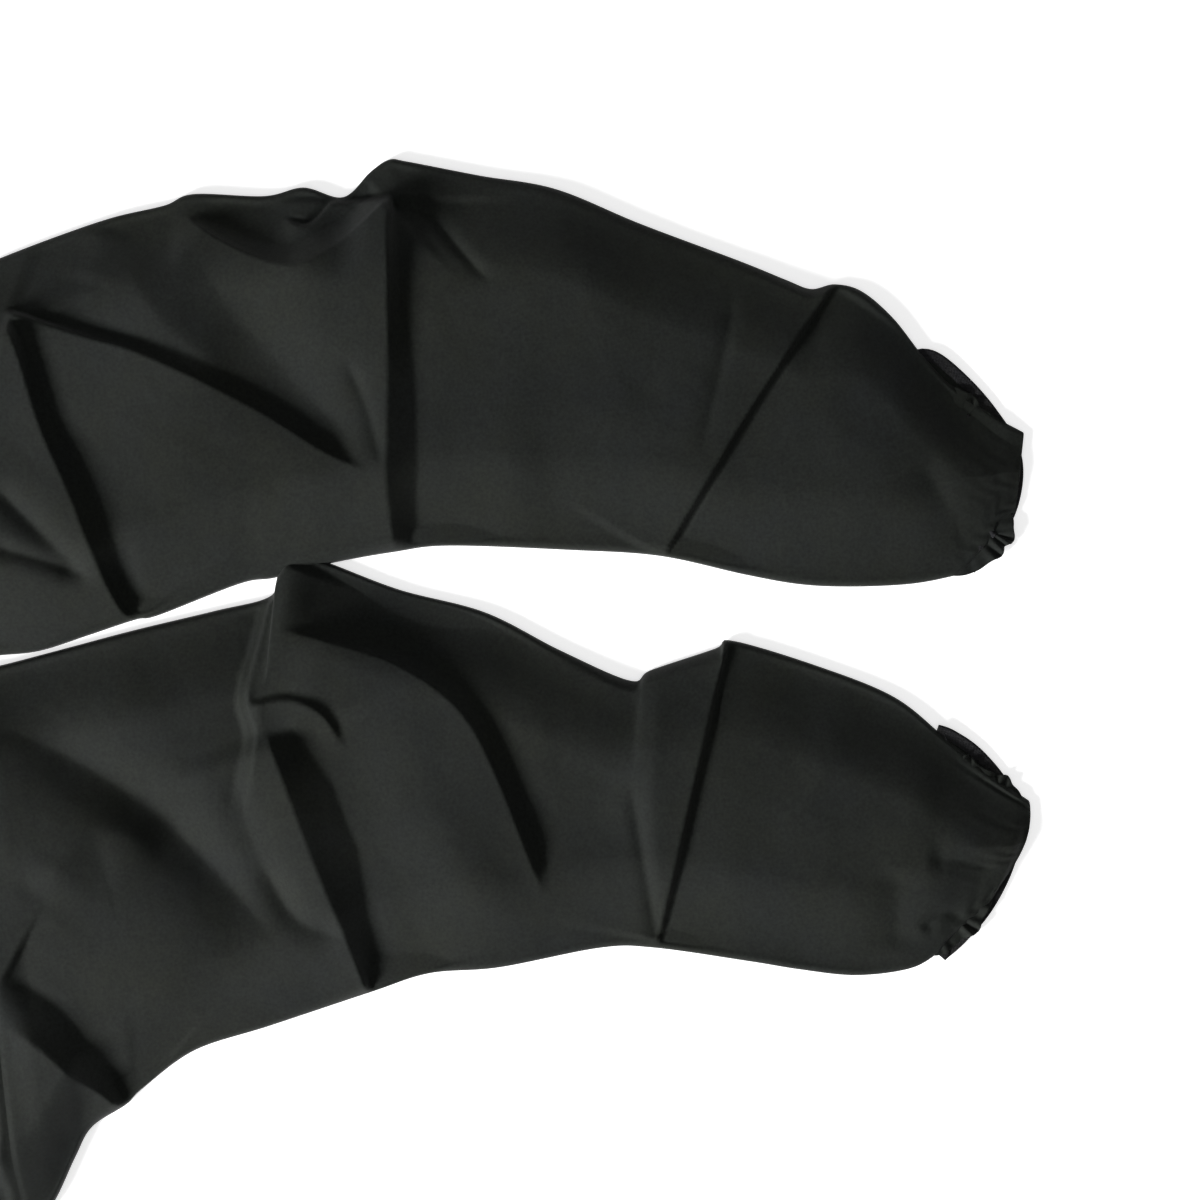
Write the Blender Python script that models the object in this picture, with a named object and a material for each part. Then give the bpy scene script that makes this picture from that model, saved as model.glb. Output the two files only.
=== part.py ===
"""Film changing bag: a two-layer light-tight bag with two zips and two elastic-cuffed sleeves.

Metres, +Z up. +X runs from the zip end to the cuffs, +Y is the wearer's right sleeve.
The origin is the centre of the bag's underside, which lies on z = 0.
"""

import math

import bmesh
import bpy
from mathutils import Vector

for old in list(bpy.data.objects):
    bpy.data.objects.remove(old, do_unlink=True)

# ---- named clearances and cloth ------------------------------------------------------------
CLOTH = 0.0008
LAYER_GAP = 0.0004
CLEAR = 0.0003
LINING_INSET = CLOTH + LAYER_GAP

# ---- bag body ------------------------------------------------------------------------------
BAG_HALF_LENGTH = 0.320
BAG_HALF_WIDTH = 0.310
BAG_HEIGHT = 0.030
SHOULDER_X = 0.200
SHOULDER_DROP = 0.048
SHOULDER_MARGIN = 0.020
ZIP_CORNER_RADIUS = 0.024
SHOULDER_RADIUS = 0.060
NECK_CORNER_RADIUS = 0.006
CORNER_STEPS = 6
SIDE_BINDING_HEIGHT = 0.012

# ---- zips ----------------------------------------------------------------------------------
ZIP_SPACING = 0.034
ZIP_END_GAP = 0.024
ZIP_HALF_LENGTH = BAG_HALF_WIDTH - ZIP_CORNER_RADIUS - ZIP_END_GAP
TEETH_WIDTH = 0.0019
TEETH_DEPTH = 0.0024
TEETH_SLOT = 0.0014
ZIP_END_TAPE = 0.018
STOP_LENGTH = 0.0035
STOP_WALL = 0.0008
SLIDER_LENGTH = 0.012
SLIDER_WIDTH = 0.0088
SLIDER_PLATE = 0.0010
SLIDER_POST = 0.0008
SLIDER_POST_LENGTH = 0.0030
CROWN_WIDTH = 0.0020
CROWN_WALL = 0.0014
CROWN_HOLE_LENGTH = 0.0032
CROWN_HOLE_HEIGHT = 0.0024
PULL_LENGTH = 0.0240
PULL_WIDTH = 0.0074
PULL_THICK = 0.0012
PULL_WINDOW_WIDTH = 0.0032
PULL_WINDOW_LENGTH = 0.0038

# ---- sleeves -------------------------------------------------------------------------------
ARMHOLE_WIDTH = 0.212
ARMHOLE_CENTRE_Y = 0.112
ARMHOLE_EDGE_Y = ARMHOLE_CENTRE_Y + ARMHOLE_WIDTH / 2
SHOULDER_HALF_WIDTH = max(BAG_HALF_WIDTH - SHOULDER_DROP, ARMHOLE_EDGE_Y + SHOULDER_MARGIN)
SLEEVE_HEIGHT = BAG_HEIGHT
CUFF_HEIGHT = 0.016
SLEEVE_EDGE_RADIUS = 0.007
SECTION_ARC_STEPS = 3
SLEEVE_STATIONS = 15
ARMHOLE_TAPE_LENGTH = 0.010
ELASTIC_WIDTH = 0.010
ELASTIC_THICK = 0.0012
ELASTIC_SETBACK = 0.004
POCKET_TAPER = 0.006
CUFF_BINDING_LENGTH = 0.005

# Where the middle of each sleeve runs as it lies, as (forward, left) of its armhole's middle,
# and how wide it lies there.
RIGHT_SLEEVE_COURSE = (
    (0.120, 0.005),
    (0.230, 0.010),
    (0.330, -0.012),
    (0.415, -0.044),
    (0.480, -0.072),
    (0.532, -0.088),
)
RIGHT_SLEEVE_WIDTHS = (0.206, 0.186, 0.166, 0.146, 0.112, 0.070)
LEFT_SLEEVE_COURSE = (
    (0.100, 0.004),
    (0.190, 0.014),
    (0.280, 0.010),
    (0.370, -0.002),
    (0.450, -0.024),
    (0.507, -0.041),
)
LEFT_SLEEVE_WIDTHS = (0.206, 0.180, 0.150, 0.142, 0.112, 0.066)


def material(name, colour, roughness, metallic=0.0):
    """A plain Principled material of its own for one object."""
    made = bpy.data.materials.new(name)
    made.use_nodes = True
    shader = made.node_tree.nodes["Principled BSDF"]
    shader.inputs["Base Color"].default_value = (*colour, 1.0)
    shader.inputs["Roughness"].default_value = roughness
    shader.inputs["Metallic"].default_value = metallic
    made.diffuse_color = (*colour, 1.0)
    return made


LOOKS = {
    "cloth": ((0.020, 0.021, 0.020), 0.85, 0.0),
    "lining": ((0.012, 0.012, 0.013), 0.80, 0.0),
    "tape": ((0.015, 0.015, 0.016), 0.90, 0.0),
    "elastic": ((0.030, 0.030, 0.032), 0.90, 0.0),
    "teeth": ((0.018, 0.018, 0.018), 0.45, 0.0),
    "metal": ((0.060, 0.060, 0.062), 0.35, 1.0),
}


def add_object(name, mesh_maker, look, origin=(0.0, 0.0, 0.0)):
    """One named closed solid from a filled bmesh, with its origin at the given point."""
    mesh = bpy.data.meshes.new(name)
    bmesh.ops.recalc_face_normals(mesh_maker, faces=mesh_maker.faces)
    bmesh.ops.translate(mesh_maker, verts=mesh_maker.verts, vec=-Vector(origin))
    mesh_maker.to_mesh(mesh)
    mesh_maker.free()
    obj = bpy.data.objects.new(name, mesh)
    obj.location = origin
    colour, roughness, metallic = LOOKS[look]
    mesh.materials.append(material(name, colour, roughness, metallic))
    bpy.context.scene.collection.objects.link(obj)
    return obj


def loft(maker, rings):
    """Quads between rings of equal length, closed round each ring. Returns the vertex rings."""
    made = []
    for ring in rings:
        made.append([maker.verts.new(point) for point in ring])
    for low, high in zip(made, made[1:]):
        for i in range(len(low)):
            j = (i + 1) % len(low)
            maker.faces.new((low[i], low[j], high[j], high[i]))
    return made


def box(maker, low, high):
    """An axis-aligned box between two corners."""
    corners = []
    for z in (low[2], high[2]):
        for x, y in ((low[0], low[1]), (high[0], low[1]), (high[0], high[1]), (low[0], high[1])):
            corners.append((x, y, z))
    rings = loft(maker, (corners[:4], corners[4:]))
    maker.faces.new(reversed(rings[0]))
    maker.faces.new(rings[1])


def prism(maker, outline, low, high, place):
    """A prism of a plane outline between two levels, each point put in space by place(u, v, w)."""
    rings = []
    for level in (low, high):
        rings.append([place(u, v, level) for u, v in outline])
    made = loft(maker, rings)
    maker.faces.new(reversed(made[0]))
    maker.faces.new(made[1])


# ---- bag outline ---------------------------------------------------------------------------
def bag_outline(inset, zip_inset):
    """The bag's rounded plan, anticlockwise, moved in by inset and by zip_inset at the zip end."""
    corners = (
        (-BAG_HALF_LENGTH, -BAG_HALF_WIDTH, ZIP_CORNER_RADIUS),
        (SHOULDER_X, -BAG_HALF_WIDTH, SHOULDER_RADIUS),
        (BAG_HALF_LENGTH, -SHOULDER_HALF_WIDTH, NECK_CORNER_RADIUS),
        (BAG_HALF_LENGTH, SHOULDER_HALF_WIDTH, NECK_CORNER_RADIUS),
        (SHOULDER_X, BAG_HALF_WIDTH, SHOULDER_RADIUS),
        (-BAG_HALF_LENGTH, BAG_HALF_WIDTH, ZIP_CORNER_RADIUS),
    )
    count = len(corners)
    lines = []
    for i in range(count):
        start = Vector(corners[i][:2])
        end = Vector(corners[(i + 1) % count][:2])
        along = (end - start).normalized()
        inward = Vector((-along.y, along.x))
        moved = zip_inset if i == count - 1 else inset
        lines.append((start + inward * moved, along))
    points = []
    for i in range(count):
        before, into = lines[i - 1]
        after, out = lines[i]
        cross = into.x * out.y - into.y * out.x
        offset = after - before
        reach = (offset.x * out.y - offset.y * out.x) / cross
        corner = before + into * reach
        radius = corners[i][2] - inset
        half_turn = math.atan2(cross, into.dot(out)) / 2
        back = radius * math.tan(half_turn)
        start = corner - into * back
        centre = start + Vector((-into.y, into.x)) * radius
        for step in range(CORNER_STEPS + 1):
            turn = 2 * half_turn * step / CORNER_STEPS
            arm = start - centre
            points.append(
                centre
                + Vector(
                    (
                        arm.x * math.cos(turn) - arm.y * math.sin(turn),
                        arm.x * math.sin(turn) + arm.y * math.cos(turn),
                    )
                )
            )
    return [(point.x, point.y) for point in points]


def outline_run(inset, zip_inset, side):
    """The part of the outline from one zip-end corner round to the front, on one side."""
    points = bag_outline(inset, zip_inset)
    turns = CORNER_STEPS + 1
    run = points[: 3 * turns] if side < 0 else points[: 3 * turns - 1 : -1]
    return run


def panel(name, inset, zip_inset, low_z, look):
    """A flat cloth panel in the shape of the bag's plan."""
    maker = bmesh.new()
    outline = bag_outline(inset, zip_inset)
    prism(maker, outline, low_z, low_z + CLOTH, lambda u, v, w: (u, v, w))
    return add_object(name, maker, look)


def gusset(name, inset, zip_inset, side, look):
    """The edge strip between the panels, from the zip round the side to the front yoke."""
    low_z = inset + CLOTH + CLEAR
    high_z = BAG_HEIGHT - low_z
    outside = outline_run(inset, zip_inset, side)
    inside = outline_run(inset + CLOTH, zip_inset + CLOTH, side)
    maker = bmesh.new()
    strip = outside + inside[::-1]
    prism(maker, strip, low_z, high_z, lambda u, v, w: (u, v, w))
    return add_object(name, maker, look)


def front_yokes(layer, inset, look):
    """The cloth between the sleeves at the neck, and outside each sleeve up to its gusset."""
    low_z = inset + CLOTH + CLEAR
    high_z = BAG_HEIGHT - low_z
    wall_x = BAG_HALF_LENGTH - inset
    gusset_y = bag_outline(inset, 0.0)[3 * (CORNER_STEPS + 1)][1] - CLEAR
    edge_y = ARMHOLE_EDGE_Y - inset - CLOTH - SLEEVE_EDGE_RADIUS
    neck_y = ARMHOLE_CENTRE_Y - ARMHOLE_WIDTH / 2 + inset + CLOTH + SLEEVE_EDGE_RADIUS
    spans = {
        "neck": (-neck_y, neck_y),
        "right": (edge_y, gusset_y),
        "left": (-gusset_y, -edge_y),
    }
    for yoke_name, (low_y, high_y) in spans.items():
        maker = bmesh.new()
        box(maker, (wall_x - CLOTH, low_y, low_z), (wall_x, high_y, high_z))
        yoke = add_object(f"{layer}_{yoke_name}_yoke", maker, look)
        for side_name, side in (("right", 1), ("left", -1)):
            if low_y * side > 0 or high_y * side > 0:
                cut_name = f"{layer}_{yoke_name}_{side_name}_armhole"
                add_cut(yoke, armhole_cutter(cut_name, side, inset, wall_x))


# ---- sleeve section ------------------------------------------------------------------------
def half_section(width, height, inset, way, gap=0.0):
    """One half of a flat tube's section as (across, up) points, upper for way 1 and lower for -1."""
    middle = height / 2
    reach = width / 2 - inset
    level = middle - inset
    radius = SLEEVE_EDGE_RADIUS - inset
    points = [(-reach, gap)]
    for side in (-1, 1):
        for step in range(SECTION_ARC_STEPS + 1):
            turn = math.pi / 2 * step / SECTION_ARC_STEPS
            if side > 0:
                turn = math.pi / 2 - turn
            across = side * (reach - radius + radius * math.cos(turn))
            points.append((across, level - radius + radius * math.sin(turn)))
    points.append((reach, gap))
    return [(across, middle + way * up) for across, up in points]


def section(width, height, inset):
    """A flat tube's round-cornered section as (across, up) points, moved in by inset."""
    upper = half_section(width, height, inset, 1)
    lower = half_section(width, height, inset, -1)
    return upper + lower[-2:0:-1]


def course(points):
    """Evenly stepped places along a smooth curve through the armhole and the given points."""
    knots = [Vector(point) for point in points]
    knots.insert(0, Vector((2 * knots[0].x - knots[1].x, knots[1].y)))
    knots.append(knots[-1] * 2 - knots[-2])
    last = len(points) - 1
    places = []
    for i in range(SLEEVE_STATIONS):
        whole = last * i / (SLEEVE_STATIONS - 1)
        k = min(int(whole), last - 1)
        t = whole - k
        a, b, c, d = knots[k : k + 4]
        place = (
            b * 2
            + (c - a) * t
            + (a * 2 - b * 5 + c * 4 - d) * t * t
            + (b * 3 - a - c * 3 + d) * t * t * t
        ) / 2
        slope = (
            (c - a)
            + (a * 2 - b * 5 + c * 4 - d) * (2 * t)
            + (b * 3 - a - c * 3 + d) * (3 * t * t)
        )
        places.append((place, slope.normalized(), whole))
    return places


def value_at(values, whole):
    k = min(int(whole), len(values) - 2)
    return values[k] + (values[k + 1] - values[k]) * (whole - k)


def stood(place, direction, outline):
    """(across, up) points stood up across the given direction at a place in plan."""
    left = Vector((-direction.y, direction.x))
    points = []
    for across, up in outline:
        point = place + left * across
        points.append((point.x, point.y, up))
    return points


class Sleeve:
    """One sleeve's course, width and height, and rings of its section anywhere along it."""

    def __init__(self, side, points, widths):
        armhole = Vector((BAG_HALF_LENGTH, side * ARMHOLE_CENTRE_Y))
        start = armhole + Vector((CLEAR, 0.0))
        self.widths = (ARMHOLE_WIDTH, *widths)
        self.places = course((start, *(armhole + Vector(point) for point in points)))
        self.runs = [0.0]
        for (here, _, _), (there, _, _) in zip(self.places, self.places[1:]):
            self.runs.append(self.runs[-1] + (there - here).length)
        self.length = self.runs[-1]

    def at(self, run):
        """(place, direction, width, height) at a distance along the sleeve."""
        if run <= 0:
            place, direction, whole = self.places[0]
            return place + Vector((run, 0.0)), direction, self.widths[0], SLEEVE_HEIGHT
        i = 0
        while i < len(self.runs) - 2 and self.runs[i + 1] < run:
            i += 1
        share = (run - self.runs[i]) / (self.runs[i + 1] - self.runs[i])
        place = self.places[i][0].lerp(self.places[i + 1][0], share)
        direction = self.places[i][1].lerp(self.places[i + 1][1], share).normalized()
        whole = self.places[i][2] + (self.places[i + 1][2] - self.places[i][2]) * share
        drawn_in = min(run / self.length, 1.0) ** 2
        height = SLEEVE_HEIGHT + (CUFF_HEIGHT - SLEEVE_HEIGHT) * drawn_in
        return place, direction, value_at(self.widths, whole), height

    def ring(self, run, inset):
        place, direction, width, height = self.at(run)
        return stood(place, direction, section(width, height, inset))

    def panel_ring(self, run, way):
        place, direction, width, height = self.at(run)
        outer = half_section(width, height, 0.0, way, CLEAR / 2)
        inner = half_section(width, height, CLOTH, way, CLEAR / 2)
        return stood(place, direction, outer + inner[::-1])

    def panel(self, name, runs, way, look):
        """The upper or lower half of the outer sleeve."""
        maker = bmesh.new()
        made = loft(maker, [self.panel_ring(run, way) for run in runs])
        count = len(made[0])
        for ring in (made[0], made[-1]):
            for i in range(count // 2 - 1):
                maker.faces.new((ring[i], ring[i + 1], ring[count - 2 - i], ring[count - 1 - i]))
        return add_object(name, maker, look)

    def tube(self, name, runs, outer, inner, look):
        """A tube between outer(run) and inner(run) insets, with open ends."""
        rings = [self.ring(run, outer(run)) for run in runs]
        rings += [self.ring(run, inner(run)) for run in reversed(runs)]
        maker = bmesh.new()
        made = loft(maker, rings)
        for i in range(len(made[0])):
            j = (i + 1) % len(made[0])
            maker.faces.new((made[-1][i], made[-1][j], made[0][j], made[0][i]))
        return add_object(name, maker, look)


def build_sleeve(side_name, side, points, widths):
    """The outer tube, lining tube, armhole tape, elastic and cuff binding of one sleeve."""
    sleeve = Sleeve(side, points, widths)
    end = sleeve.length
    cloth_end = end - CUFF_BINDING_LENGTH
    band_end = cloth_end - ELASTIC_SETBACK
    band_start = band_end - ELASTIC_WIDTH
    pocket = band_start - POCKET_TAPER
    tape_half = ARMHOLE_TAPE_LENGTH / 2
    lining_start = CLEAR - LINING_INSET
    stops = {-tape_half, lining_start, 0.0, tape_half, pocket, band_start, band_end}
    stops |= {cloth_end, cloth_end + CLEAR, end}
    stops |= {run for run in sleeve.runs if tape_half < run < pocket - POCKET_TAPER}
    stops = sorted(stops)
    pocket_depth = ELASTIC_THICK + 2 * CLEAR - LAYER_GAP

    def between(low, high):
        return [run for run in stops if low <= run <= high]

    def lining_skin(run):
        share = min(max((run - pocket) / POCKET_TAPER, 0.0), 1.0)
        return LINING_INSET + pocket_depth * share

    def add_tube(piece, runs, outer, inner, look):
        sleeve.tube(f"{side_name}_{piece}", runs, outer, inner, look)

    for panel_name, way in (("upper", 1), ("lower", -1)):
        name = f"{side_name}_sleeve_{panel_name}"
        sleeve.panel(name, between(0.0, cloth_end), way, "cloth")
    add_tube(
        "sleeve_lining",
        between(lining_start, cloth_end),
        lining_skin,
        lambda run: lining_skin(run) + CLOTH,
        "lining",
    )
    tape_skin = LINING_INSET + CLOTH + CLEAR
    add_tube(
        "armhole_tape",
        between(-tape_half, tape_half),
        lambda run: tape_skin,
        lambda run: tape_skin + CLOTH,
        "tape",
    )
    band_skin = CLOTH + CLEAR
    add_tube(
        "cuff_elastic",
        between(band_start, band_end),
        lambda run: band_skin,
        lambda run: band_skin + ELASTIC_THICK,
        "elastic",
    )
    binding_skin = lining_skin(end) + CLOTH
    add_tube(
        "cuff_binding",
        between(cloth_end + CLEAR, end),
        lambda run: 0.0,
        lambda run: binding_skin,
        "cloth",
    )


# ---- openings through the panels -----------------------------------------------------------
def hide_cutter(obj):
    obj.hide_render = True
    obj.display_type = "WIRE"
    return obj


def add_cut(target, cutter):
    cut = target.modifiers.new(cutter.name, "BOOLEAN")
    cut.operation = "DIFFERENCE"
    cut.solver = "EXACT"
    cut.object = cutter


def armhole_cutter(name, side, inset, wall_x):
    """The armhole's section, longer than the front yoke is thick."""
    maker = bmesh.new()
    outline = section(ARMHOLE_WIDTH, SLEEVE_HEIGHT, inset)
    prism(
        maker,
        outline,
        wall_x - 2 * CLOTH,
        wall_x + CLOTH,
        lambda u, v, w: (w, side * ARMHOLE_CENTRE_Y + u, v),
    )
    return hide_cutter(add_object(name, maker, "cloth"))


def build_layer(layer, inset, zip_inset, look):
    """One bag layer: two panels, two gussets and the front yokes."""
    panel(f"{layer}_bottom_panel", inset, zip_inset, inset, look)
    panel(f"{layer}_top_panel", inset, zip_inset, BAG_HEIGHT - inset - CLOTH, look)
    gusset(f"{layer}_right_gusset", inset, zip_inset, 1, look)
    gusset(f"{layer}_left_gusset", inset, zip_inset, -1, look)
    front_yokes(layer, inset, look)


def build_side_binding(name, side):
    """A tape along one side seam, from the zip corner to the shoulder."""
    middle = BAG_HEIGHT / 2
    near = side * (BAG_HALF_WIDTH + CLEAR)
    far = side * (BAG_HALF_WIDTH + CLEAR + CLOTH)
    maker = bmesh.new()
    box(
        maker,
        (
            -BAG_HALF_LENGTH + ZIP_CORNER_RADIUS,
            min(near, far),
            middle - SIDE_BINDING_HEIGHT / 2,
        ),
        (
            SHOULDER_X - SHOULDER_RADIUS / 2,
            max(near, far),
            middle + SIDE_BINDING_HEIGHT / 2,
        ),
    )
    return add_object(name, maker, "tape")


# ---- zip -----------------------------------------------------------------------------------
def build_zip(layer, inset, end_x):
    """Tapes, teeth, stops, slider and pull of one zip, between the panels at end_x."""
    middle = BAG_HEIGHT / 2
    tape_x = end_x + CLEAR
    chain_x = tape_x + CLOTH / 2
    slot = TEETH_SLOT / 2
    teeth_edge = slot + TEETH_WIDTH
    tape_edge = teeth_edge + CLEAR
    for row, way in (("upper", 1), ("lower", -1)):
        maker = bmesh.new()
        panel_edge = middle - inset - CLOTH - CLEAR
        levels = sorted((middle + way * tape_edge, middle + way * panel_edge))
        half = ZIP_HALF_LENGTH + ZIP_END_TAPE
        box(maker, (tape_x, -half, levels[0]), (tape_x + CLOTH, half, levels[1]))
        add_object(f"{layer}_zip_tape_{row}", maker, "tape")
        maker = bmesh.new()
        levels = sorted((middle + way * slot, middle + way * teeth_edge))
        half = ZIP_HALF_LENGTH - STOP_LENGTH - CLEAR
        box(
            maker,
            (chain_x - TEETH_DEPTH / 2, -half, levels[0]),
            (chain_x + TEETH_DEPTH / 2, half, levels[1]),
        )
        add_object(f"{layer}_zip_teeth_{row}", maker, "teeth")
    for side_name, side in (("right", 1), ("left", -1)):
        ends = sorted((side * (ZIP_HALF_LENGTH - STOP_LENGTH), side * (ZIP_HALF_LENGTH - CLEAR)))
        maker = bmesh.new()
        box(
            maker,
            (chain_x - TEETH_DEPTH / 2 - STOP_WALL, ends[0], middle - teeth_edge),
            (chain_x + TEETH_DEPTH / 2, ends[1], middle + teeth_edge),
        )
        add_object(f"{layer}_zip_stop_{side_name}", maker, "metal")

    slider_y = ZIP_HALF_LENGTH - STOP_LENGTH - CLEAR - SLIDER_LENGTH / 2
    outer_face = chain_x - TEETH_DEPTH / 2 - CLEAR - SLIDER_PLATE
    inner_face = chain_x + TEETH_DEPTH / 2 + CLEAR + SLIDER_PLATE
    build_slider(layer, slider_y, outer_face, inner_face)
    build_pull(layer, slider_y, outer_face)


def plate_outline():
    """The slider's plate: full width at the mouth end, drawn in at the closed end."""
    half = SLIDER_LENGTH / 2
    wide = SLIDER_WIDTH / 2
    narrow = wide * 0.72
    return (
        (-half, -narrow),
        (-half * 0.2, -narrow),
        (half * 0.35, -wide),
        (half, -wide * 0.86),
        (half, wide * 0.86),
        (half * 0.35, wide),
        (-half * 0.2, narrow),
        (-half, narrow),
    )


def build_slider(layer, slider_y, outer_face, inner_face):
    """Two plates joined by the post between the teeth rows, with the crown the pull hangs on."""
    middle = BAG_HEIGHT / 2
    half_hole = CROWN_HOLE_LENGTH / 2
    half_crown = half_hole + CROWN_WALL
    crown_top = outer_face - CROWN_HOLE_HEIGHT - CROWN_WALL
    half_post = SLIDER_POST_LENGTH / 2
    outer_back = outer_face + SLIDER_PLATE
    inner_back = inner_face - SLIDER_PLATE

    def place(u, v, w):
        return (w, slider_y + u, middle + v)

    parts = []
    maker = bmesh.new()
    prism(maker, plate_outline(), outer_face, outer_back, place)
    body = add_object(f"{layer}_zip_slider", maker, "metal", (chain_origin(outer_back, inner_back), slider_y, middle))
    maker = bmesh.new()
    prism(maker, plate_outline(), inner_back, inner_face, place)
    parts.append(add_object(f"{layer}_slider_back_plate", maker, "metal"))
    maker = bmesh.new()
    box(
        maker,
        (outer_back - SLIDER_PLATE / 2, slider_y - half_post, middle - SLIDER_POST / 2),
        (inner_back + SLIDER_PLATE / 2, slider_y + half_post, middle + SLIDER_POST / 2),
    )
    parts.append(add_object(f"{layer}_slider_post", maker, "metal"))
    maker = bmesh.new()
    arch = (
        (-half_crown, outer_face + SLIDER_PLATE / 2),
        (-half_crown, crown_top + CROWN_WALL / 2),
        (-half_crown + CROWN_WALL / 2, crown_top),
        (half_crown - CROWN_WALL / 2, crown_top),
        (half_crown, crown_top + CROWN_WALL / 2),
        (half_crown, outer_face + SLIDER_PLATE / 2),
        (half_hole, outer_face + SLIDER_PLATE / 2),
        (half_hole, crown_top + CROWN_WALL),
        (-half_hole, crown_top + CROWN_WALL),
        (-half_hole, outer_face + SLIDER_PLATE / 2),
    )
    prism(
        maker,
        arch,
        -CROWN_WIDTH / 2,
        CROWN_WIDTH / 2,
        lambda u, v, w: (v, slider_y + u, middle + w),
    )
    parts.append(add_object(f"{layer}_slider_crown", maker, "metal"))
    for part in parts:
        hide_cutter(part)
        join = body.modifiers.new(part.name, "BOOLEAN")
        join.operation = "UNION"
        join.solver = "EXACT"
        join.object = part
    return body


def chain_origin(outer_back, inner_back):
    """The middle of the chain, where a slider's own frame sits."""
    return (outer_back + inner_back) / 2


def build_pull(layer, slider_y, outer_face):
    """A flat tab whose end bar passes through the slider's crown. Its origin is on that bar."""
    middle = BAG_HEIGHT / 2
    bar_x = outer_face - CROWN_HOLE_HEIGHT / 2
    half_bar = PULL_THICK / 2
    half = PULL_WIDTH / 2
    window = PULL_WINDOW_WIDTH / 2
    tip = half * 0.75
    reach = half_bar + PULL_WINDOW_LENGTH
    outer = (
        (half_bar, -half + half_bar),
        (half_bar, half - half_bar),
        (0.0, half),
        (-PULL_LENGTH * 0.35, half),
        (-PULL_LENGTH * 0.9, tip),
        (-PULL_LENGTH, tip * 0.6),
        (-PULL_LENGTH, -tip * 0.6),
        (-PULL_LENGTH * 0.9, -tip),
        (-PULL_LENGTH * 0.35, -half),
        (0.0, -half),
    )

    def place(u, v, w):
        return (bar_x + w, slider_y + u, middle + v)

    maker = bmesh.new()
    prism(maker, outer, -half_bar, half_bar, place)
    pull = add_object(f"{layer}_zip_pull", maker, "metal", (bar_x, slider_y, middle))
    for cut_name, ends in (
        ("crown_window", (-reach, -half_bar)),
        ("grip_slot", (-PULL_LENGTH * 0.84, -PULL_LENGTH * 0.5)),
    ):
        maker = bmesh.new()
        box(
            maker,
            (bar_x - PULL_THICK, slider_y + ends[0], middle - window),
            (bar_x + PULL_THICK, slider_y + ends[1], middle + window),
        )
        add_cut(pull, hide_cutter(add_object(f"{layer}_pull_{cut_name}", maker, "metal")))
    return pull


build_layer("outer", 0.0, 0.0, "cloth")
build_layer("lining", LINING_INSET, ZIP_SPACING, "lining")
build_side_binding("right_side_binding", 1)
build_side_binding("left_side_binding", -1)
build_zip("outer", 0.0, -BAG_HALF_LENGTH)
build_zip("inner", LINING_INSET, -BAG_HALF_LENGTH + ZIP_SPACING)
build_sleeve("right", 1, RIGHT_SLEEVE_COURSE, RIGHT_SLEEVE_WIDTHS)
build_sleeve("left", -1, LEFT_SLEEVE_COURSE, LEFT_SLEEVE_WIDTHS)
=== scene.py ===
"""Film changing bag: the visual model, its studio and camera. Metres, in the CAD part's own frame."""

import math

import bpy
import numpy as np
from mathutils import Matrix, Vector


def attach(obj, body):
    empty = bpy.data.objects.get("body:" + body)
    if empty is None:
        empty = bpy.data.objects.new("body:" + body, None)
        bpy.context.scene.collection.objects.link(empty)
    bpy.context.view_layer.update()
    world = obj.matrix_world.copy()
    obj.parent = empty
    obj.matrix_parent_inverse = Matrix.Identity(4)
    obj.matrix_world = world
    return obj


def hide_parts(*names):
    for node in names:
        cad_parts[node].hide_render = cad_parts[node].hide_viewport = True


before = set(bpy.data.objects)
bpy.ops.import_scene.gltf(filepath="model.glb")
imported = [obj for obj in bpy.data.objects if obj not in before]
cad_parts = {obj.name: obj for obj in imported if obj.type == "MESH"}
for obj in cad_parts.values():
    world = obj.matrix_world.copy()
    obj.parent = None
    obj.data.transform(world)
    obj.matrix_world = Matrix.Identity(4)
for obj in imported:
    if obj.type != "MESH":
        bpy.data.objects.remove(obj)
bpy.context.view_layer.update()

# ---- sizes shared by the pieces ------------------------------------------------------------
UNDER_Z = 0.0009  # where the cloth lies on the ground
ARMHOLE_X = 0.318
ZIP_END_X = -0.320
INNER_WALL_X = -0.286
ZIP_MIDDLE_Z = 0.015
STITCH_PITCH = 0.0032


# ---- small numeric tools -------------------------------------------------------------------
def smoothstep(low, high, value):
    share = np.clip((value - low) / (high - low), 0.0, 1.0)
    return share * share * (3.0 - 2.0 * share)


def spline(points, count):
    """Evenly spaced places on a smooth curve through the points."""
    knots = np.array(points, dtype=float)
    knots = np.vstack([2 * knots[0] - knots[1], knots, 2 * knots[-1] - knots[-2]])
    dense = []
    for a, b, c, d in zip(knots, knots[1:], knots[2:], knots[3:]):
        t = np.linspace(0.0, 1.0, 24, endpoint=False)[:, None]
        bend = 2 * b + (c - a) * t + (2 * a - 5 * b + 4 * c - d) * t**2
        dense.append(0.5 * (bend + (3 * b - a - 3 * c + d) * t**3))
    dense = np.vstack(dense + [knots[-2:-1]])
    run = np.concatenate([[0.0], np.cumsum(np.linalg.norm(np.diff(dense, axis=0), axis=1))])
    wanted = np.linspace(0.0, run[-1], count)
    return np.stack([np.interp(wanted, run, dense[:, k]) for k in range(dense.shape[1])], axis=1)


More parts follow.
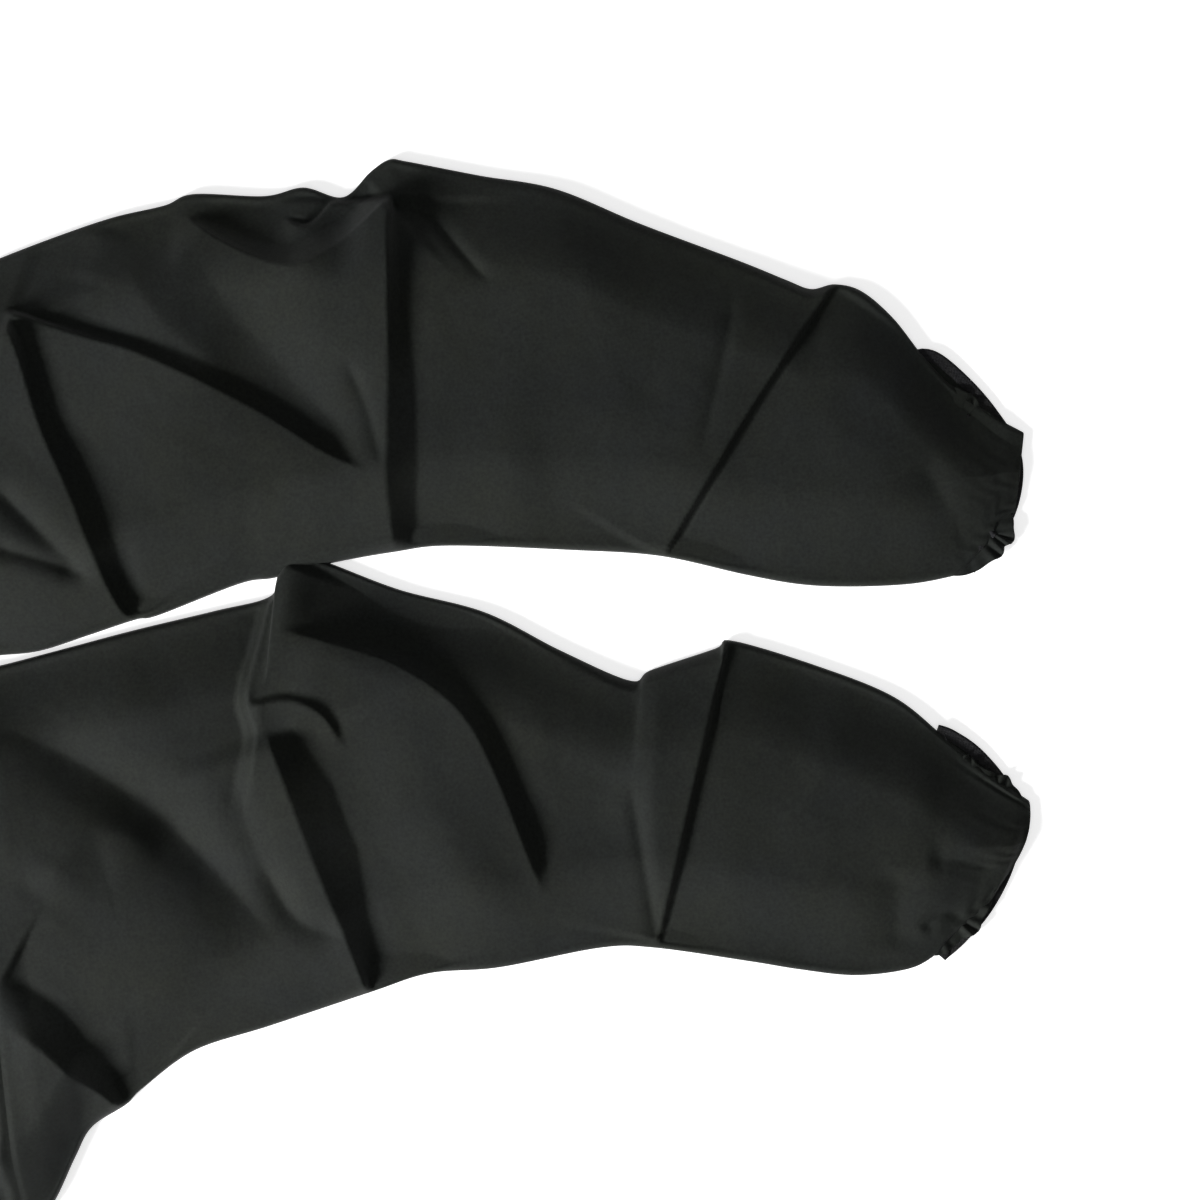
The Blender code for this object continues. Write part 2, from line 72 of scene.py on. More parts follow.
def lattice_noise(x, y, cell, seed):
    """Smooth noise from -1 to 1 over a plane, with features about one cell across."""
    u = x / cell
    v = y / cell
    i = np.floor(u).astype(np.int64)
    j = np.floor(v).astype(np.int64)
    fu = u - i
    fv = v - j

    def corner(di, dj):
        mixed = (i + di) * 374761393 + (j + dj) * 668265263 + seed * 974634777
        mixed = (mixed ^ (mixed >> 13)) * 1274126177
        mixed = (mixed ^ (mixed >> 16)) & 0xFFFF
        turn = mixed / 65536.0 * 2 * np.pi
        return np.cos(turn) * (fu - di) + np.sin(turn) * (fv - dj)

    su = fu**3 * (fu * (fu * 6 - 15) + 10)
    sv = fv**3 * (fv * (fv * 6 - 15) + 10)
    low = corner(0, 0) * (1 - su) + corner(1, 0) * su
    high = corner(0, 1) * (1 - su) + corner(1, 1) * su
    return 1.6 * (low * (1 - sv) + high * sv)


def path_distance(x, y, path):
    """(signed distance, share along) of each place from a path. Left of the path is positive."""
    best = np.full(x.shape, 1e9)
    signed = np.zeros(x.shape)
    along = np.zeros(x.shape)
    lengths = np.linalg.norm(np.diff(path, axis=0), axis=1)
    total = lengths.sum()
    done = 0.0
    for start, end, length in zip(path, path[1:], lengths):
        dx, dy = (end - start) / length
        rx = x - start[0]
        ry = y - start[1]
        t = np.clip(rx * dx + ry * dy, 0.0, length)
        away = np.hypot(rx - t * dx, ry - t * dy)
        nearer = away < best
        side = np.where(dx * ry - dy * rx >= 0, 1.0, -1.0)
        best = np.where(nearer, away, best)
        signed = np.where(nearer, side * away, signed)
        along = np.where(nearer, (done + t) / total, along)
        done += length
    return signed, along


FOLD_REACH = 0.030  # how far a fold's climb can be felt to each side
TUCK_DEPTH = 0.0012
TUCK_AT = 0.0022
TUCK_WIDTH = 0.0013


class Relief:
    """Heights laid over a cloth that lies in plan at x, y."""

    def __init__(self, x, y):
        self.x = x
        self.y = y
        self.z = np.zeros(x.shape)

    def _near(self, path, fade):
        line = spline(path, 40)
        distance, along = path_distance(self.x, self.y, line)
        start, end = fade
        ends = smoothstep(-0.001, max(start, 1e-4), along)
        ends = ends * smoothstep(-0.001, max(end, 1e-4), 1 - along)
        return distance, along, ends

    def crease(self, path, depth, width, fade=(0.25, 0.25)):
        """A soft valley, or a ridge if depth is negative."""
        distance, _, ends = self._near(path, fade)
        self.z -= depth * ends * np.exp(-((np.abs(distance) / width) ** 1.5))

    def lip(self, path, over, height, rise, trough, reach, fade=(0.15, 0.15), drop=0.0030, level=0.35):
        """A fold of cloth lying over its neighbour: raised on one side, then a sharp drop.

        The trough under it stays level for a share of its reach, then climbs back."""
        distance, along, ends = self._near(path, fade)
        if over == "right":
            distance = -distance
        reach = np.interp(along, np.linspace(0, 1, len(reach)), reach)
        raised = height * np.exp(-np.maximum(distance - drop * 0.5, 0) / rise)
        share = np.clip(-distance / reach, 0, 1)
        sunk = -trough * (1 - smoothstep(level, 1.0, share))
        blend = smoothstep(-drop, 0.0, distance)
        self.z += ends * (raised * blend + sunk * (1 - blend))

    def facet(self, path, over, height, rise, trough, reach, recover, fade, soft=0.0):
        """A fold seen as two flats: a slow climb to a ridge, then a slope down past it."""
        distance, along, ends = self._near(path, fade)
        if over == "right":
            distance = -distance
        reach = np.interp(along, np.linspace(0, 1, len(reach)), reach)
        raised = height * np.exp(-np.maximum(distance, 0) / rise)
        share = np.clip(-distance / reach, 0, 1)
        eased = share + (share - share**2) * soft
        beyond = np.maximum(-distance - reach, 0)
        fallen = height - (height + trough) * eased + trough * (1 - np.exp(-beyond / recover))
        window = 1 - smoothstep(FOLD_REACH, 2.4 * FOLD_REACH, np.abs(distance))
        # a narrow dip at the ridge's foot, where the fold lies on the cloth below
        tuck = TUCK_DEPTH * np.exp(-(((-distance - TUCK_AT) / TUCK_WIDTH) ** 2)) * (1 - soft)
        tuck = tuck * smoothstep(0.012, 0.006, reach)
        self.z += ends * window * (np.where(distance >= 0, raised, fallen) - tuck)

    def waves(self, cell, height, seed, stretch=(1.0, 1.0)):
        self.z += height * lattice_noise(self.x * stretch[0], self.y * stretch[1], cell, seed)


# ---- how each sleeve lies ------------------------------------------------------------------
RIGHT_UPPER_EDGE = (
    (0.318, 0.200), (0.332, 0.192), (0.358, 0.200), (0.389, 0.208), (0.417, 0.214),
    (0.443, 0.217), (0.458, 0.221), (0.493, 0.216), (0.513, 0.218), (0.532, 0.211),
    (0.547, 0.222), (0.557, 0.227), (0.566, 0.225), (0.601, 0.214), (0.638, 0.203),
    (0.678, 0.181), (0.725, 0.157), (0.747, 0.145), (0.759, 0.139), (0.771, 0.140),
    (0.784, 0.135), (0.798, 0.120), (0.811, 0.099), (0.824, 0.082), (0.842, 0.066),
    (0.856, 0.056),
)
RIGHT_LOWER_EDGE = (
    (0.318, 0.003), (0.335, 0.003), (0.356, 0.003), (0.381, 0.008), (0.405, 0.013),
    (0.417, 0.014), (0.459, 0.025), (0.477, 0.026), (0.505, 0.030), (0.537, 0.032),
    (0.565, 0.032), (0.625, 0.023), (0.669, 0.015), (0.710, 0.001), (0.737, -0.007),
    (0.762, -0.011), (0.790, -0.013), (0.809, -0.012), (0.817, -0.010), (0.828, -0.002),
    (0.834, 0.004), (0.839, 0.012), (0.847, 0.016),
)
LEFT_UPPER_EDGE = (
    (0.318, -0.003), (0.335, -0.002), (0.370, 0.003), (0.404, 0.008), (0.445, 0.013),
    (0.473, 0.017), (0.479, 0.028), (0.489, 0.037), (0.505, 0.030), (0.538, 0.013),
    (0.579, -0.003), (0.614, -0.026), (0.647, -0.045), (0.658, -0.041), (0.691, -0.034),
    (0.700, -0.031), (0.740, -0.048), (0.777, -0.068), (0.801, -0.092), (0.822, -0.113),
    (0.838, -0.127),
)
LEFT_LOWER_EDGE = (
    (0.318, -0.285), (0.332, -0.271), (0.345, -0.250), (0.355, -0.236), (0.373, -0.227),
    (0.382, -0.220), (0.410, -0.204), (0.449, -0.196), (0.501, -0.185), (0.531, -0.179),
    (0.566, -0.180), (0.617, -0.176), (0.644, -0.179), (0.690, -0.191), (0.715, -0.198),
    (0.742, -0.204), (0.768, -0.204), (0.782, -0.199), (0.791, -0.191), (0.801, -0.184),
    (0.811, -0.177), (0.819, -0.167),
)
# where the gathered hem shows beyond the smooth cloth, as places round the mouth
RIGHT_HEM = (
    (0.806, 0.084, 0.0044), (0.8145, 0.0835, 0.0056), (0.8230, 0.0805, 0.0062), (0.8295, 0.0765, 0.0062),
    (0.8350, 0.0720, 0.0058), (0.8395, 0.066, 0.0045), (0.849, 0.056, 0.0036), (0.847, 0.039, 0.0034),
    (0.843, 0.024, 0.0036), (0.844, 0.013, 0.0050), (0.843, 0.004, 0.0060), (0.837, -0.002, 0.0060),
    (0.830, -0.007, 0.0055), (0.822, -0.010, 0.0045), (0.812, -0.009, 0.0030), (0.816, 0.000, 0.0022),
    (0.828, 0.010, 0.0020), (0.838, 0.026, 0.0020), (0.841, 0.044, 0.0020), (0.833, 0.062, 0.0020),
    (0.822, 0.078, 0.0022), (0.810, 0.090, 0.0030),
)
LEFT_HEM = (
    (0.792, -0.096, 0.0045), (0.802, -0.0985, 0.0055), (0.810, -0.1035, 0.0060), (0.818, -0.1095, 0.0060),
    (0.826, -0.1145, 0.0058), (0.832, -0.121, 0.0048), (0.833, -0.128, 0.0036), (0.831, -0.139, 0.0034),
    (0.826, -0.151, 0.0034), (0.820, -0.161, 0.0046), (0.813, -0.171, 0.0060), (0.809, -0.180, 0.0060),
    (0.802, -0.189, 0.0058), (0.793, -0.194, 0.0050), (0.783, -0.197, 0.0040), (0.778, -0.193, 0.0026),
    (0.790, -0.184, 0.0020), (0.803, -0.172, 0.0020), (0.814, -0.156, 0.0020), (0.820, -0.140, 0.0020),
    (0.818, -0.124, 0.0020), (0.808, -0.108, 0.0022), (0.798, -0.099, 0.0030),
)


def right_folds(r):
    r.waves(0.070, 0.0024, 3, (0.7, 1.0))
    r.waves(0.028, 0.0004, 11)
    # the pleat standing across the sleeve below the notch in its upper edge
    r.facet(
        ((0.556, 0.209), (0.550, 0.157), (0.544, 0.108), (0.539, 0.068), (0.538, 0.028)),
        "right", 0.0052, 0.050, 0.0034, (0.002, 0.007, 0.013, 0.015, 0.010), 0.060, (0.03, 0.03), 0.2,
    )
    # the folded lip that runs into its top
    r.facet(
        ((0.452, 0.210), (0.474, 0.192), (0.497, 0.179), (0.513, 0.178), (0.535, 0.190), (0.556, 0.206)),
        "right", 0.0036, 0.026, 0.0022, (0.005, 0.010, 0.013, 0.008), 0.030, (0.12, 0.05), 0.3,
    )
    r.lip(
        ((0.500, 0.203), (0.514, 0.197), (0.532, 0.212)),
        "right", 0.0016, 0.008, 0.0016, (0.006, 0.006), (0.3, 0.1),
    )
    r.crease(((0.562, 0.203), (0.574, 0.196), (0.585, 0.180), (0.595, 0.166), (0.604, 0.156)), 0.0020, 0.0036)
    # the long slanting fold from the shoulder to the pleat
    r.facet(
        ((0.360, 0.172), (0.395, 0.156), (0.427, 0.142), (0.476, 0.111), (0.511, 0.084), (0.532, 0.071)),
        "right", 0.0034, 0.050, 0.0024, (0.002, 0.005, 0.009, 0.010, 0.003), 0.040, (0.04, 0.16), 0.3,
    )
    # gathers near the armhole
    r.facet(
        ((0.362, 0.168), (0.367, 0.148), (0.373, 0.112), (0.384, 0.076), (0.396, 0.029), (0.405, 0.010)),
        "right", 0.0044, 0.040, 0.0034, (0.003, 0.007, 0.010, 0.011, 0.005), 0.050, (0.06, 0.03), 0.2,
    )
    r.crease(((0.340, 0.094), (0.367, 0.060), (0.391, 0.030)), 0.0040, 0.0070)
    r.crease(((0.335, 0.060), (0.366, 0.047), (0.389, 0.035)), 0.0030, 0.0050)
    # broad soft hollows and swells
    r.crease(((0.448, 0.204), (0.474, 0.156), (0.505, 0.112), (0.535, 0.074)), 0.0052, 0.022)
    r.crease(((0.420, 0.196), (0.436, 0.160), (0.470, 0.125)), -0.0030, 0.016)
    r.crease(((0.524, 0.133), (0.533, 0.104), (0.538, 0.071)), 0.0018, 0.004)
    r.crease(((0.414, 0.210), (0.403, 0.179)), -0.0015, 0.014)
    r.crease(((0.640, 0.190), (0.652, 0.130), (0.668, 0.060)), -0.0022, 0.030)
    r.crease(((0.600, 0.060), (0.640, 0.070), (0.690, 0.110)), 0.0022, 0.028)
    # the forearm lying over the cuff's gathers
    r.facet(
        ((0.772, 0.142), (0.758, 0.126), (0.722, 0.083), (0.695, 0.048), (0.668, 0.012)),
        "right", 0.0028, 0.050, 0.0018, (0.003, 0.0035, 0.003), 0.050, (0.03, 0.03),
    )
    r.crease(((0.722, 0.145), (0.708, 0.100), (0.694, 0.061)), 0.0012, 0.004)
    r.crease(((0.740, 0.100), (0.770, 0.060), (0.800, 0.040)), -0.0012, 0.024)
    r.crease(((0.800, 0.050), (0.815, 0.020), (0.822, -0.004)), 0.0024, 0.011)


def left_folds(r):
    r.waves(0.070, 0.0022, 23, (0.7, 1.0))
    r.waves(0.028, 0.0004, 31)
    # the flap that lies over the other sleeve
    r.facet(
        ((0.484, 0.036), (0.475, 0.017), (0.468, -0.004), (0.459, -0.032), (0.461, -0.054), (0.448, -0.100)),
        "left", 0.0034, 0.040, 0.0026, (0.005, 0.007, 0.010), 0.040, (0.04, 0.30), 0.1,
    )
    # the big rounded fold at the elbow
    r.facet(
        ((0.476, 0.000), (0.500, -0.008), (0.534, -0.024), (0.562, -0.050), (0.577, -0.087), (0.593, -0.147)),
        "right", 0.0042, 0.060, 0.0026, (0.004, 0.008, 0.010, 0.005), 0.060, (0.14, 0.14), 0.3,
    )
    r.facet(
        ((0.458, -0.036), (0.478, -0.035), (0.494, -0.044), (0.503, -0.064)),
        "right", 0.0020, 0.014, 0.0012, (0.003, 0.005, 0.004), 0.020, (0.10, 0.30), 0.5,
    )
    # the deep pocket below it
    r.facet(
        ((0.466, -0.048), (0.471, -0.070), (0.481, -0.112), (0.491, -0.148), (0.501, -0.188)),
        "right", 0.0052, 0.040, 0.0050, (0.010, 0.021, 0.022, 0.013, 0.003), 0.060, (0.08, 0.03), 0.15,
    )
    r.crease(((0.454, -0.111), (0.470, -0.143), (0.496, -0.156)), 0.0034, 0.007)
    r.crease(((0.448, -0.060), (0.452, -0.100), (0.470, -0.150)), 0.0026, 0.009)
    # the wide soft valley from the armhole and the swell below it
    r.crease(((0.325, -0.026), (0.379, -0.060), (0.424, -0.105), (0.467, -0.165)), 0.0095, 0.018)
    r.crease(((0.345, -0.120), (0.376, -0.087), (0.408, -0.106)), -0.0040, 0.018)
    r.crease(((0.560, -0.140), (0.620, -0.110), (0.640, -0.070)), 0.0024, 0.020)
    # the pocket at the underarm
    r.facet(
        ((0.312, -0.172), (0.335, -0.188), (0.352, -0.207), (0.374, -0.230)),
        "right", 0.0044, 0.022, 0.0050, (0.022, 0.020, 0.014, 0.006), 0.030, (0.02, 0.02), 0.0,
    )
    # the narrow three-cornered pleat on the forearm
    r.facet(
        ((0.698, -0.028), (0.671, -0.103), (0.645, -0.178)),
        "right", 0.0022, 0.030, 0.0018, (0.003, 0.004), 0.050, (0.03, 0.03),
    )
    r.crease(((0.641, -0.087), (0.643, -0.125), (0.646, -0.176)), 0.0020, 0.0040, (0.3, 0.05))
    r.crease(((0.662, -0.040), (0.652, -0.100), (0.646, -0.160)), -0.0016, 0.010)
    r.crease(((0.720, -0.090), (0.760, -0.110), (0.800, -0.125)), -0.0022, 0.024)
    r.crease(((0.768, -0.150), (0.766, -0.172), (0.764, -0.196)), 0.0026, 0.012)
    r.crease(((0.782, -0.150), (0.800, -0.152), (0.818, -0.160)), 0.0026, 0.007)
    r.crease(((0.776, -0.186), (0.788, -0.178), (0.800, -0.180)), 0.0022, 0.004)


def build_cloth(name, rows, closed, materials=()):
    """A mesh from rows of equal length. Each row closes on itself if closed."""
    count_along, count_round = rows.shape[0], rows.shape[1]
    index = np.arange(count_along * count_round).reshape(count_along, count_round)
    nxt = np.roll(index, -1, axis=1) if closed else index[:, 1:]
    here = index if closed else index[:, :-1]
    quads = np.stack([here[:-1], nxt[:-1], nxt[1:], here[1:]], axis=-1).reshape(-1, 4)
    mesh = bpy.data.meshes.new(name)
    mesh.vertices.add(rows.shape[0] * rows.shape[1])
    mesh.vertices.foreach_set("co", rows.reshape(-1).astype(np.float32))
    mesh.loops.add(quads.size)
    mesh.loops.foreach_set("vertex_index", quads.reshape(-1).astype(np.int32))
    mesh.polygons.add(len(quads))
    mesh.polygons.foreach_set("loop_start", np.arange(0, quads.size, 4, dtype=np.int32))
    mesh.update(calc_edges=True)
    mesh.validate()
    mesh.polygons.foreach_set("use_smooth", np.ones(len(mesh.polygons), dtype=bool))
    obj = bpy.data.objects.new(name, mesh)
    bpy.context.scene.collection.objects.link(obj)
    for material in materials:
        mesh.materials.append(material)
    return obj


# ---- materials -----------------------------------------------------------------------------
def new_material(name):
    material = bpy.data.materials.new(name)
    material.use_nodes = True
    nodes = material.node_tree.nodes
    return material, nodes, material.node_tree.links, nodes["Principled BSDF"]


OLIVE_CAST = (1.16, 1.12, 0.66)
BLUE_CAST = (0.84, 0.90, 1.40)


def woven_cloth(name, colour, roughness, sheen, thread, bump):
    """Plain-weave nylon: two crossed sets of threads, slight mottling and a soft sheen."""
    material, nodes, links, shader = new_material(name)
    place = nodes.new("ShaderNodeTexCoord")
    shader.inputs["Roughness"].default_value = roughness
    shader.inputs["Sheen Weight"].default_value = sheen
    shader.inputs["Sheen Roughness"].default_value = 0.45
    shader.inputs["Specular IOR Level"].default_value = 0.20
    mottle = nodes.new("ShaderNodeTexNoise")
    mottle.inputs["Scale"].default_value = 620.0
    mottle.inputs["Detail"].default_value = 3.0
    links.new(place.outputs["Object"], mottle.inputs["Vector"])
    ramp = nodes.new("ShaderNodeMapRange")
    ramp.inputs["From Min"].default_value = 0.30
    ramp.inputs["From Max"].default_value = 0.70
    ramp.inputs["To Min"].default_value = 0.60
    ramp.inputs["To Max"].default_value = 1.40
    links.new(mottle.outputs["Fac"], ramp.inputs["Value"])
    tint = nodes.new("ShaderNodeTexNoise")
    tint.inputs["Scale"].default_value = 16.0
    tint.inputs["Detail"].default_value = 6.0
    tint.inputs["Roughness"].default_value = 0.7
    links.new(place.outputs["Object"], tint.inputs["Vector"])
    soft = nodes.new("ShaderNodeMix")
    soft.data_type = "RGBA"
    for socket, cast in (("A", OLIVE_CAST), ("B", BLUE_CAST)):
        soft.inputs[socket].default_value = (*(c * t for c, t in zip(colour, cast)), 1)
    links.new(tint.outputs["Fac"], soft.inputs["Factor"])
    shade = nodes.new("ShaderNodeVectorMath")
    shade.operation = "SCALE"
    links.new(soft.outputs["Result"], shade.inputs[0])
    links.new(ramp.outputs["Result"], shade.inputs["Scale"])
    links.new(shade.outputs["Vector"], shader.inputs["Base Color"])
    waves = []
    for direction in ("X", "Y"):
        wave = nodes.new("ShaderNodeTexWave")
        wave.wave_type = "BANDS"
        wave.bands_direction = direction
        wave.inputs["Scale"].default_value = 0.5 / thread
        wave.inputs["Distortion"].default_value = 0.6
        wave.inputs["Detail"].default_value = 1.0
        links.new(place.outputs["Object"], wave.inputs["Vector"])
        waves.append(wave)
    weave = nodes.new("ShaderNodeMath")
    weave.operation = "MAXIMUM"
    links.new(waves[0].outputs["Fac"], weave.inputs[0])
    links.new(waves[1].outputs["Fac"], weave.inputs[1])
    relief = nodes.new("ShaderNodeBump")
    relief.inputs["Strength"].default_value = bump
    relief.inputs["Distance"].default_value = thread * 0.5
    links.new(weave.outputs["Value"], relief.inputs["Height"])
    links.new(relief.outputs["Normal"], shader.inputs["Normal"])
    return material


def plain_material(name, colour, roughness, metallic=0.0):
    material, _, _, shader = new_material(name)
    shader.inputs["Base Color"].default_value = (*colour, 1.0)
    shader.inputs["Roughness"].default_value = roughness
    shader.inputs["Metallic"].default_value = metallic
    return material


OUTER = woven_cloth("outer_nylon", (0.0058, 0.0073, 0.0055), 0.80, 0.03, 0.0007, 0.35)
LINING = woven_cloth("lining_nylon", (0.0060, 0.0060, 0.0066), 0.70, 0.03, 0.0006, 0.25)
TAPE = woven_cloth("tape_twill", (0.0075, 0.0078, 0.0078), 0.85, 0.04, 0.0009, 0.50)
ELASTIC = woven_cloth("elastic_web", (0.0130, 0.0130, 0.0135), 0.85, 0.03, 0.0012, 0.70)
THREAD = plain_material("sewing_thread", (0.014, 0.014, 0.014), 0.70)
TEETH = plain_material("zip_nylon", (0.020, 0.020, 0.020), 0.35)
ENAMEL = plain_material("black_enamel", (0.035, 0.035, 0.036), 0.30, 0.6)


# ---- pieces that several parts share -------------------------------------------------------
def lens(inset):
    """A flat-lying sleeve's section: it turns under sharply, then climbs gently to its middle."""
    climb = smoothstep(0.0, SLEEVE_CROWN_WIDTH, inset)
    return turned(inset, SLEEVE_ROLL) * (SLEEVE_EDGE_SHARE + (1 - SLEEVE_EDGE_SHARE) * climb)


def turned(inset, roll):
    """The share of full height that cloth has at a distance in from the edge it turns under."""
    return np.sqrt(np.clip(1 - (1 - np.clip(inset / roll, 0, 1)) ** 2, 0, 1))


def shift_in(rows, amount):
    """A tube of cloth moved inwards along its own normals."""
    along = np.gradient(rows, axis=0)
    around = (np.roll(rows, -1, axis=1) - np.roll(rows, 1, axis=1)) / 2
    normal = np.cross(along, around)
    normal /= np.maximum(np.linalg.norm(normal, axis=-1, keepdims=True), 1e-9)
    centre = rows.mean(axis=1, keepdims=True)
    outward = np.sign(np.sum(normal * (rows - centre), axis=-1, keepdims=True))
    outward = np.where(outward == 0, 1.0, outward)
    return rows - normal * outward * amount


def keep_above(rows, lowest):
    rows[..., 2] = np.maximum(rows[..., 2], lowest)
    return rows


def finish_piece(obj, slot, *nodes):
    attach(obj, "bag")
    if nodes:
        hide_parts(*nodes)
    return obj


def thicken(obj, thickness):
    modifier = obj.modifiers.new("thickness", "SOLIDIFY")
    modifier.thickness = thickness
    modifier.offset = 0.0
    return obj


def lowest_near(heights, most_steps):
    """Each height replaced by the lowest of those round about it, up to a number of steps off."""
    low = heights.copy()
    for steps in range(1, most_steps + 1):
        for axis in (0, 1):
            for way in (-steps, steps):
                low = np.minimum(low, np.roll(heights, way, axis=axis))
    return low


STITCH_SHARE = 0.62  # of the pitch, the rest is the gap
STITCH_RADIUS = 0.00028


def stitch_line(name, line, pitch, slot):
    """A run of short stitches lying on the cloth, as one piece."""
    line = np.asarray(line, dtype=float)
    run = np.concatenate([[0.0], np.cumsum(np.linalg.norm(np.diff(line, axis=0), axis=1))])
    count = int(run[-1] / pitch)
    points = []
    faces = []
    for k in range(count):
        ends = (np.array((0.5 - STITCH_SHARE / 2, 0.5 + STITCH_SHARE / 2)) + k) * pitch
        first, last = (np.array([np.interp(e, run, line[:, c]) for c in range(3)]) for e in ends)
        way = (last - first) / max(np.linalg.norm(last - first), 1e-9)
        side = np.cross(way, (0.0, 0.3, 1.0))
        side /= max(np.linalg.norm(side), 1e-9)
        up = np.cross(side, way)
        base = len(points)
        points.append(first)
        for share in (0.25, 0.75):
            middle = first + (last - first) * share
            for turn in range(6):
                angle = turn * np.pi / 3
                points.append(middle + (side * np.cos(angle) + up * np.sin(angle)) * STITCH_RADIUS)
        points.append(last)
        for turn in range(6):
            nxt = (turn + 1) % 6
            faces.append((base, base + 1 + nxt, base + 1 + turn))
            faces.append((base + 1 + turn, base + 1 + nxt, base + 7 + nxt, base + 7 + turn))
            faces.append((base + 13, base + 7 + turn, base + 7 + nxt))
    mesh = bpy.data.meshes.new(name)
    mesh.from_pydata([tuple(p) for p in points], [], faces)
    mesh.polygons.foreach_set("use_smooth", np.ones(len(faces), dtype=bool))
    mesh.materials.append(THREAD)
    obj = bpy.data.objects.new(name, mesh)
    bpy.context.scene.collection.objects.link(obj)
    finish_piece(obj, slot)


# ---- cloth simulation ----------------------------------------------------------------------
SLACK_FRAMES = 30
SLACK_STEP = 2  # the simulation runs on every second row and column
SUPPORT_FLOOR_Z = 0.0015


def let_slack(rows, growth, held_up, bending, most):
    """Cloth simulation: a top panel, cut a little larger than its seams allow, settles on its support.

    The support is held up by a share of the panel's own height, and more over the inner zip.
    No place moves further than most."""
    start = rows[::SLACK_STEP, ::SLACK_STEP]
    count_along, count_across = start.shape[:2]
    cloth = build_cloth("slack_cloth", start, False)
    support_rows = start[::2, ::2].copy()
    close = np.exp(-(((support_rows[..., 0] - INNER_WALL_X) / 0.014) ** 4))
    held_up = held_up + (0.97 - held_up) * close
    support_rows[..., 2] = SUPPORT_FLOOR_Z + (support_rows[..., 2] - SUPPORT_FLOOR_Z) * held_up
    support = build_cloth("slack_support", support_rows, False)
    support.modifiers.new("collision", "COLLISION")
    support.collision.thickness_outer = 0.001
    edge = np.zeros((count_along, count_across), dtype=bool)
    edge[:3] = edge[-2:] = True
    edge[:, :2] = edge[:, -2:] = True
    pins = cloth.vertex_groups.new(name="pins")
    pins.add(np.flatnonzero(edge.reshape(-1)).tolist(), 1.0, "REPLACE")
    modifier = cloth.modifiers.new("cloth", "CLOTH")
    settings = modifier.settings
    settings.quality = 5
    settings.mass = 0.12
    settings.tension_stiffness = 12.0
    settings.compression_stiffness = 12.0
    settings.shear_stiffness = 6.0
    settings.bending_stiffness = bending
    settings.air_damping = 2.0
    settings.vertex_group_mass = "pins"
    settings.shrink_min = -growth
    settings.effector_weights.gravity = 0.5
    modifier.collision_settings.distance_min = 0.001
    modifier.point_cache.frame_start = 1
    modifier.point_cache.frame_end = SLACK_FRAMES
    scene = bpy.context.scene
    for frame_number in range(1, SLACK_FRAMES + 1):
        scene.frame_set(frame_number)
    graph = bpy.context.evaluated_depsgraph_get()
    settled = cloth.evaluated_get(graph).to_mesh()
    places = np.empty(len(settled.vertices) * 3, dtype=np.float32)
    settled.vertices.foreach_get("co", places)
    moved = places.reshape(count_along, count_across, 3) - start
    for made in (cloth, support):
        bpy.data.objects.remove(made)
    scene.frame_set(1)
    size = np.linalg.norm(moved, axis=-1, keepdims=True)
    moved = moved * np.minimum(1.0, most / np.maximum(size, 1e-9))
    # carried from the coarse grid to the fine one
    along_at = np.arange(rows.shape[0]) / SLACK_STEP
    across_at = np.arange(rows.shape[1]) / SLACK_STEP
    fine = np.zeros_like(rows)
    for axis in range(3):
        columns = moved[..., axis].T
        part = np.stack([np.interp(along_at, np.arange(count_along), c) for c in columns], axis=1)
        fine[..., axis] = np.stack([np.interp(across_at, np.arange(count_across), r) for r in part])
    for _ in range(2):
        fine[1:-1] = (fine[:-2] + 2 * fine[1:-1] + fine[2:]) / 4
        fine[:, 1:-1] = (fine[:, :-2] + 2 * fine[:, 1:-1] + fine[:, 2:]) / 4
    return rows + fine


# ---- sleeves -------------------------------------------------------------------------------
SLEEVE_ALONG = 430  # rows of quads from the armhole to the cuff
SLEEVE_ACROSS = 180  # columns over the top
SLEEVE_UNDER = 46  # columns along the underside
SLEEVE_ROLL = 0.0034
SLEEVE_CROWN_WIDTH = 0.048
SLEEVE_EDGE_SHARE = 0.26
SLEEVE_BASE = 0.002
HEM_DEPTH = 0.012
LINING_INSET = 0.0016


def sleeve_height(along):
    """The height of a sleeve's middle from its armhole (0) to its cuff (1)."""
    places = (0.0, 0.12, 0.35, 0.70, 0.92, 1.0)
    return np.interp(along, places, (0.022, 0.019, 0.0165, 0.0150, 0.0135, 0.0115))


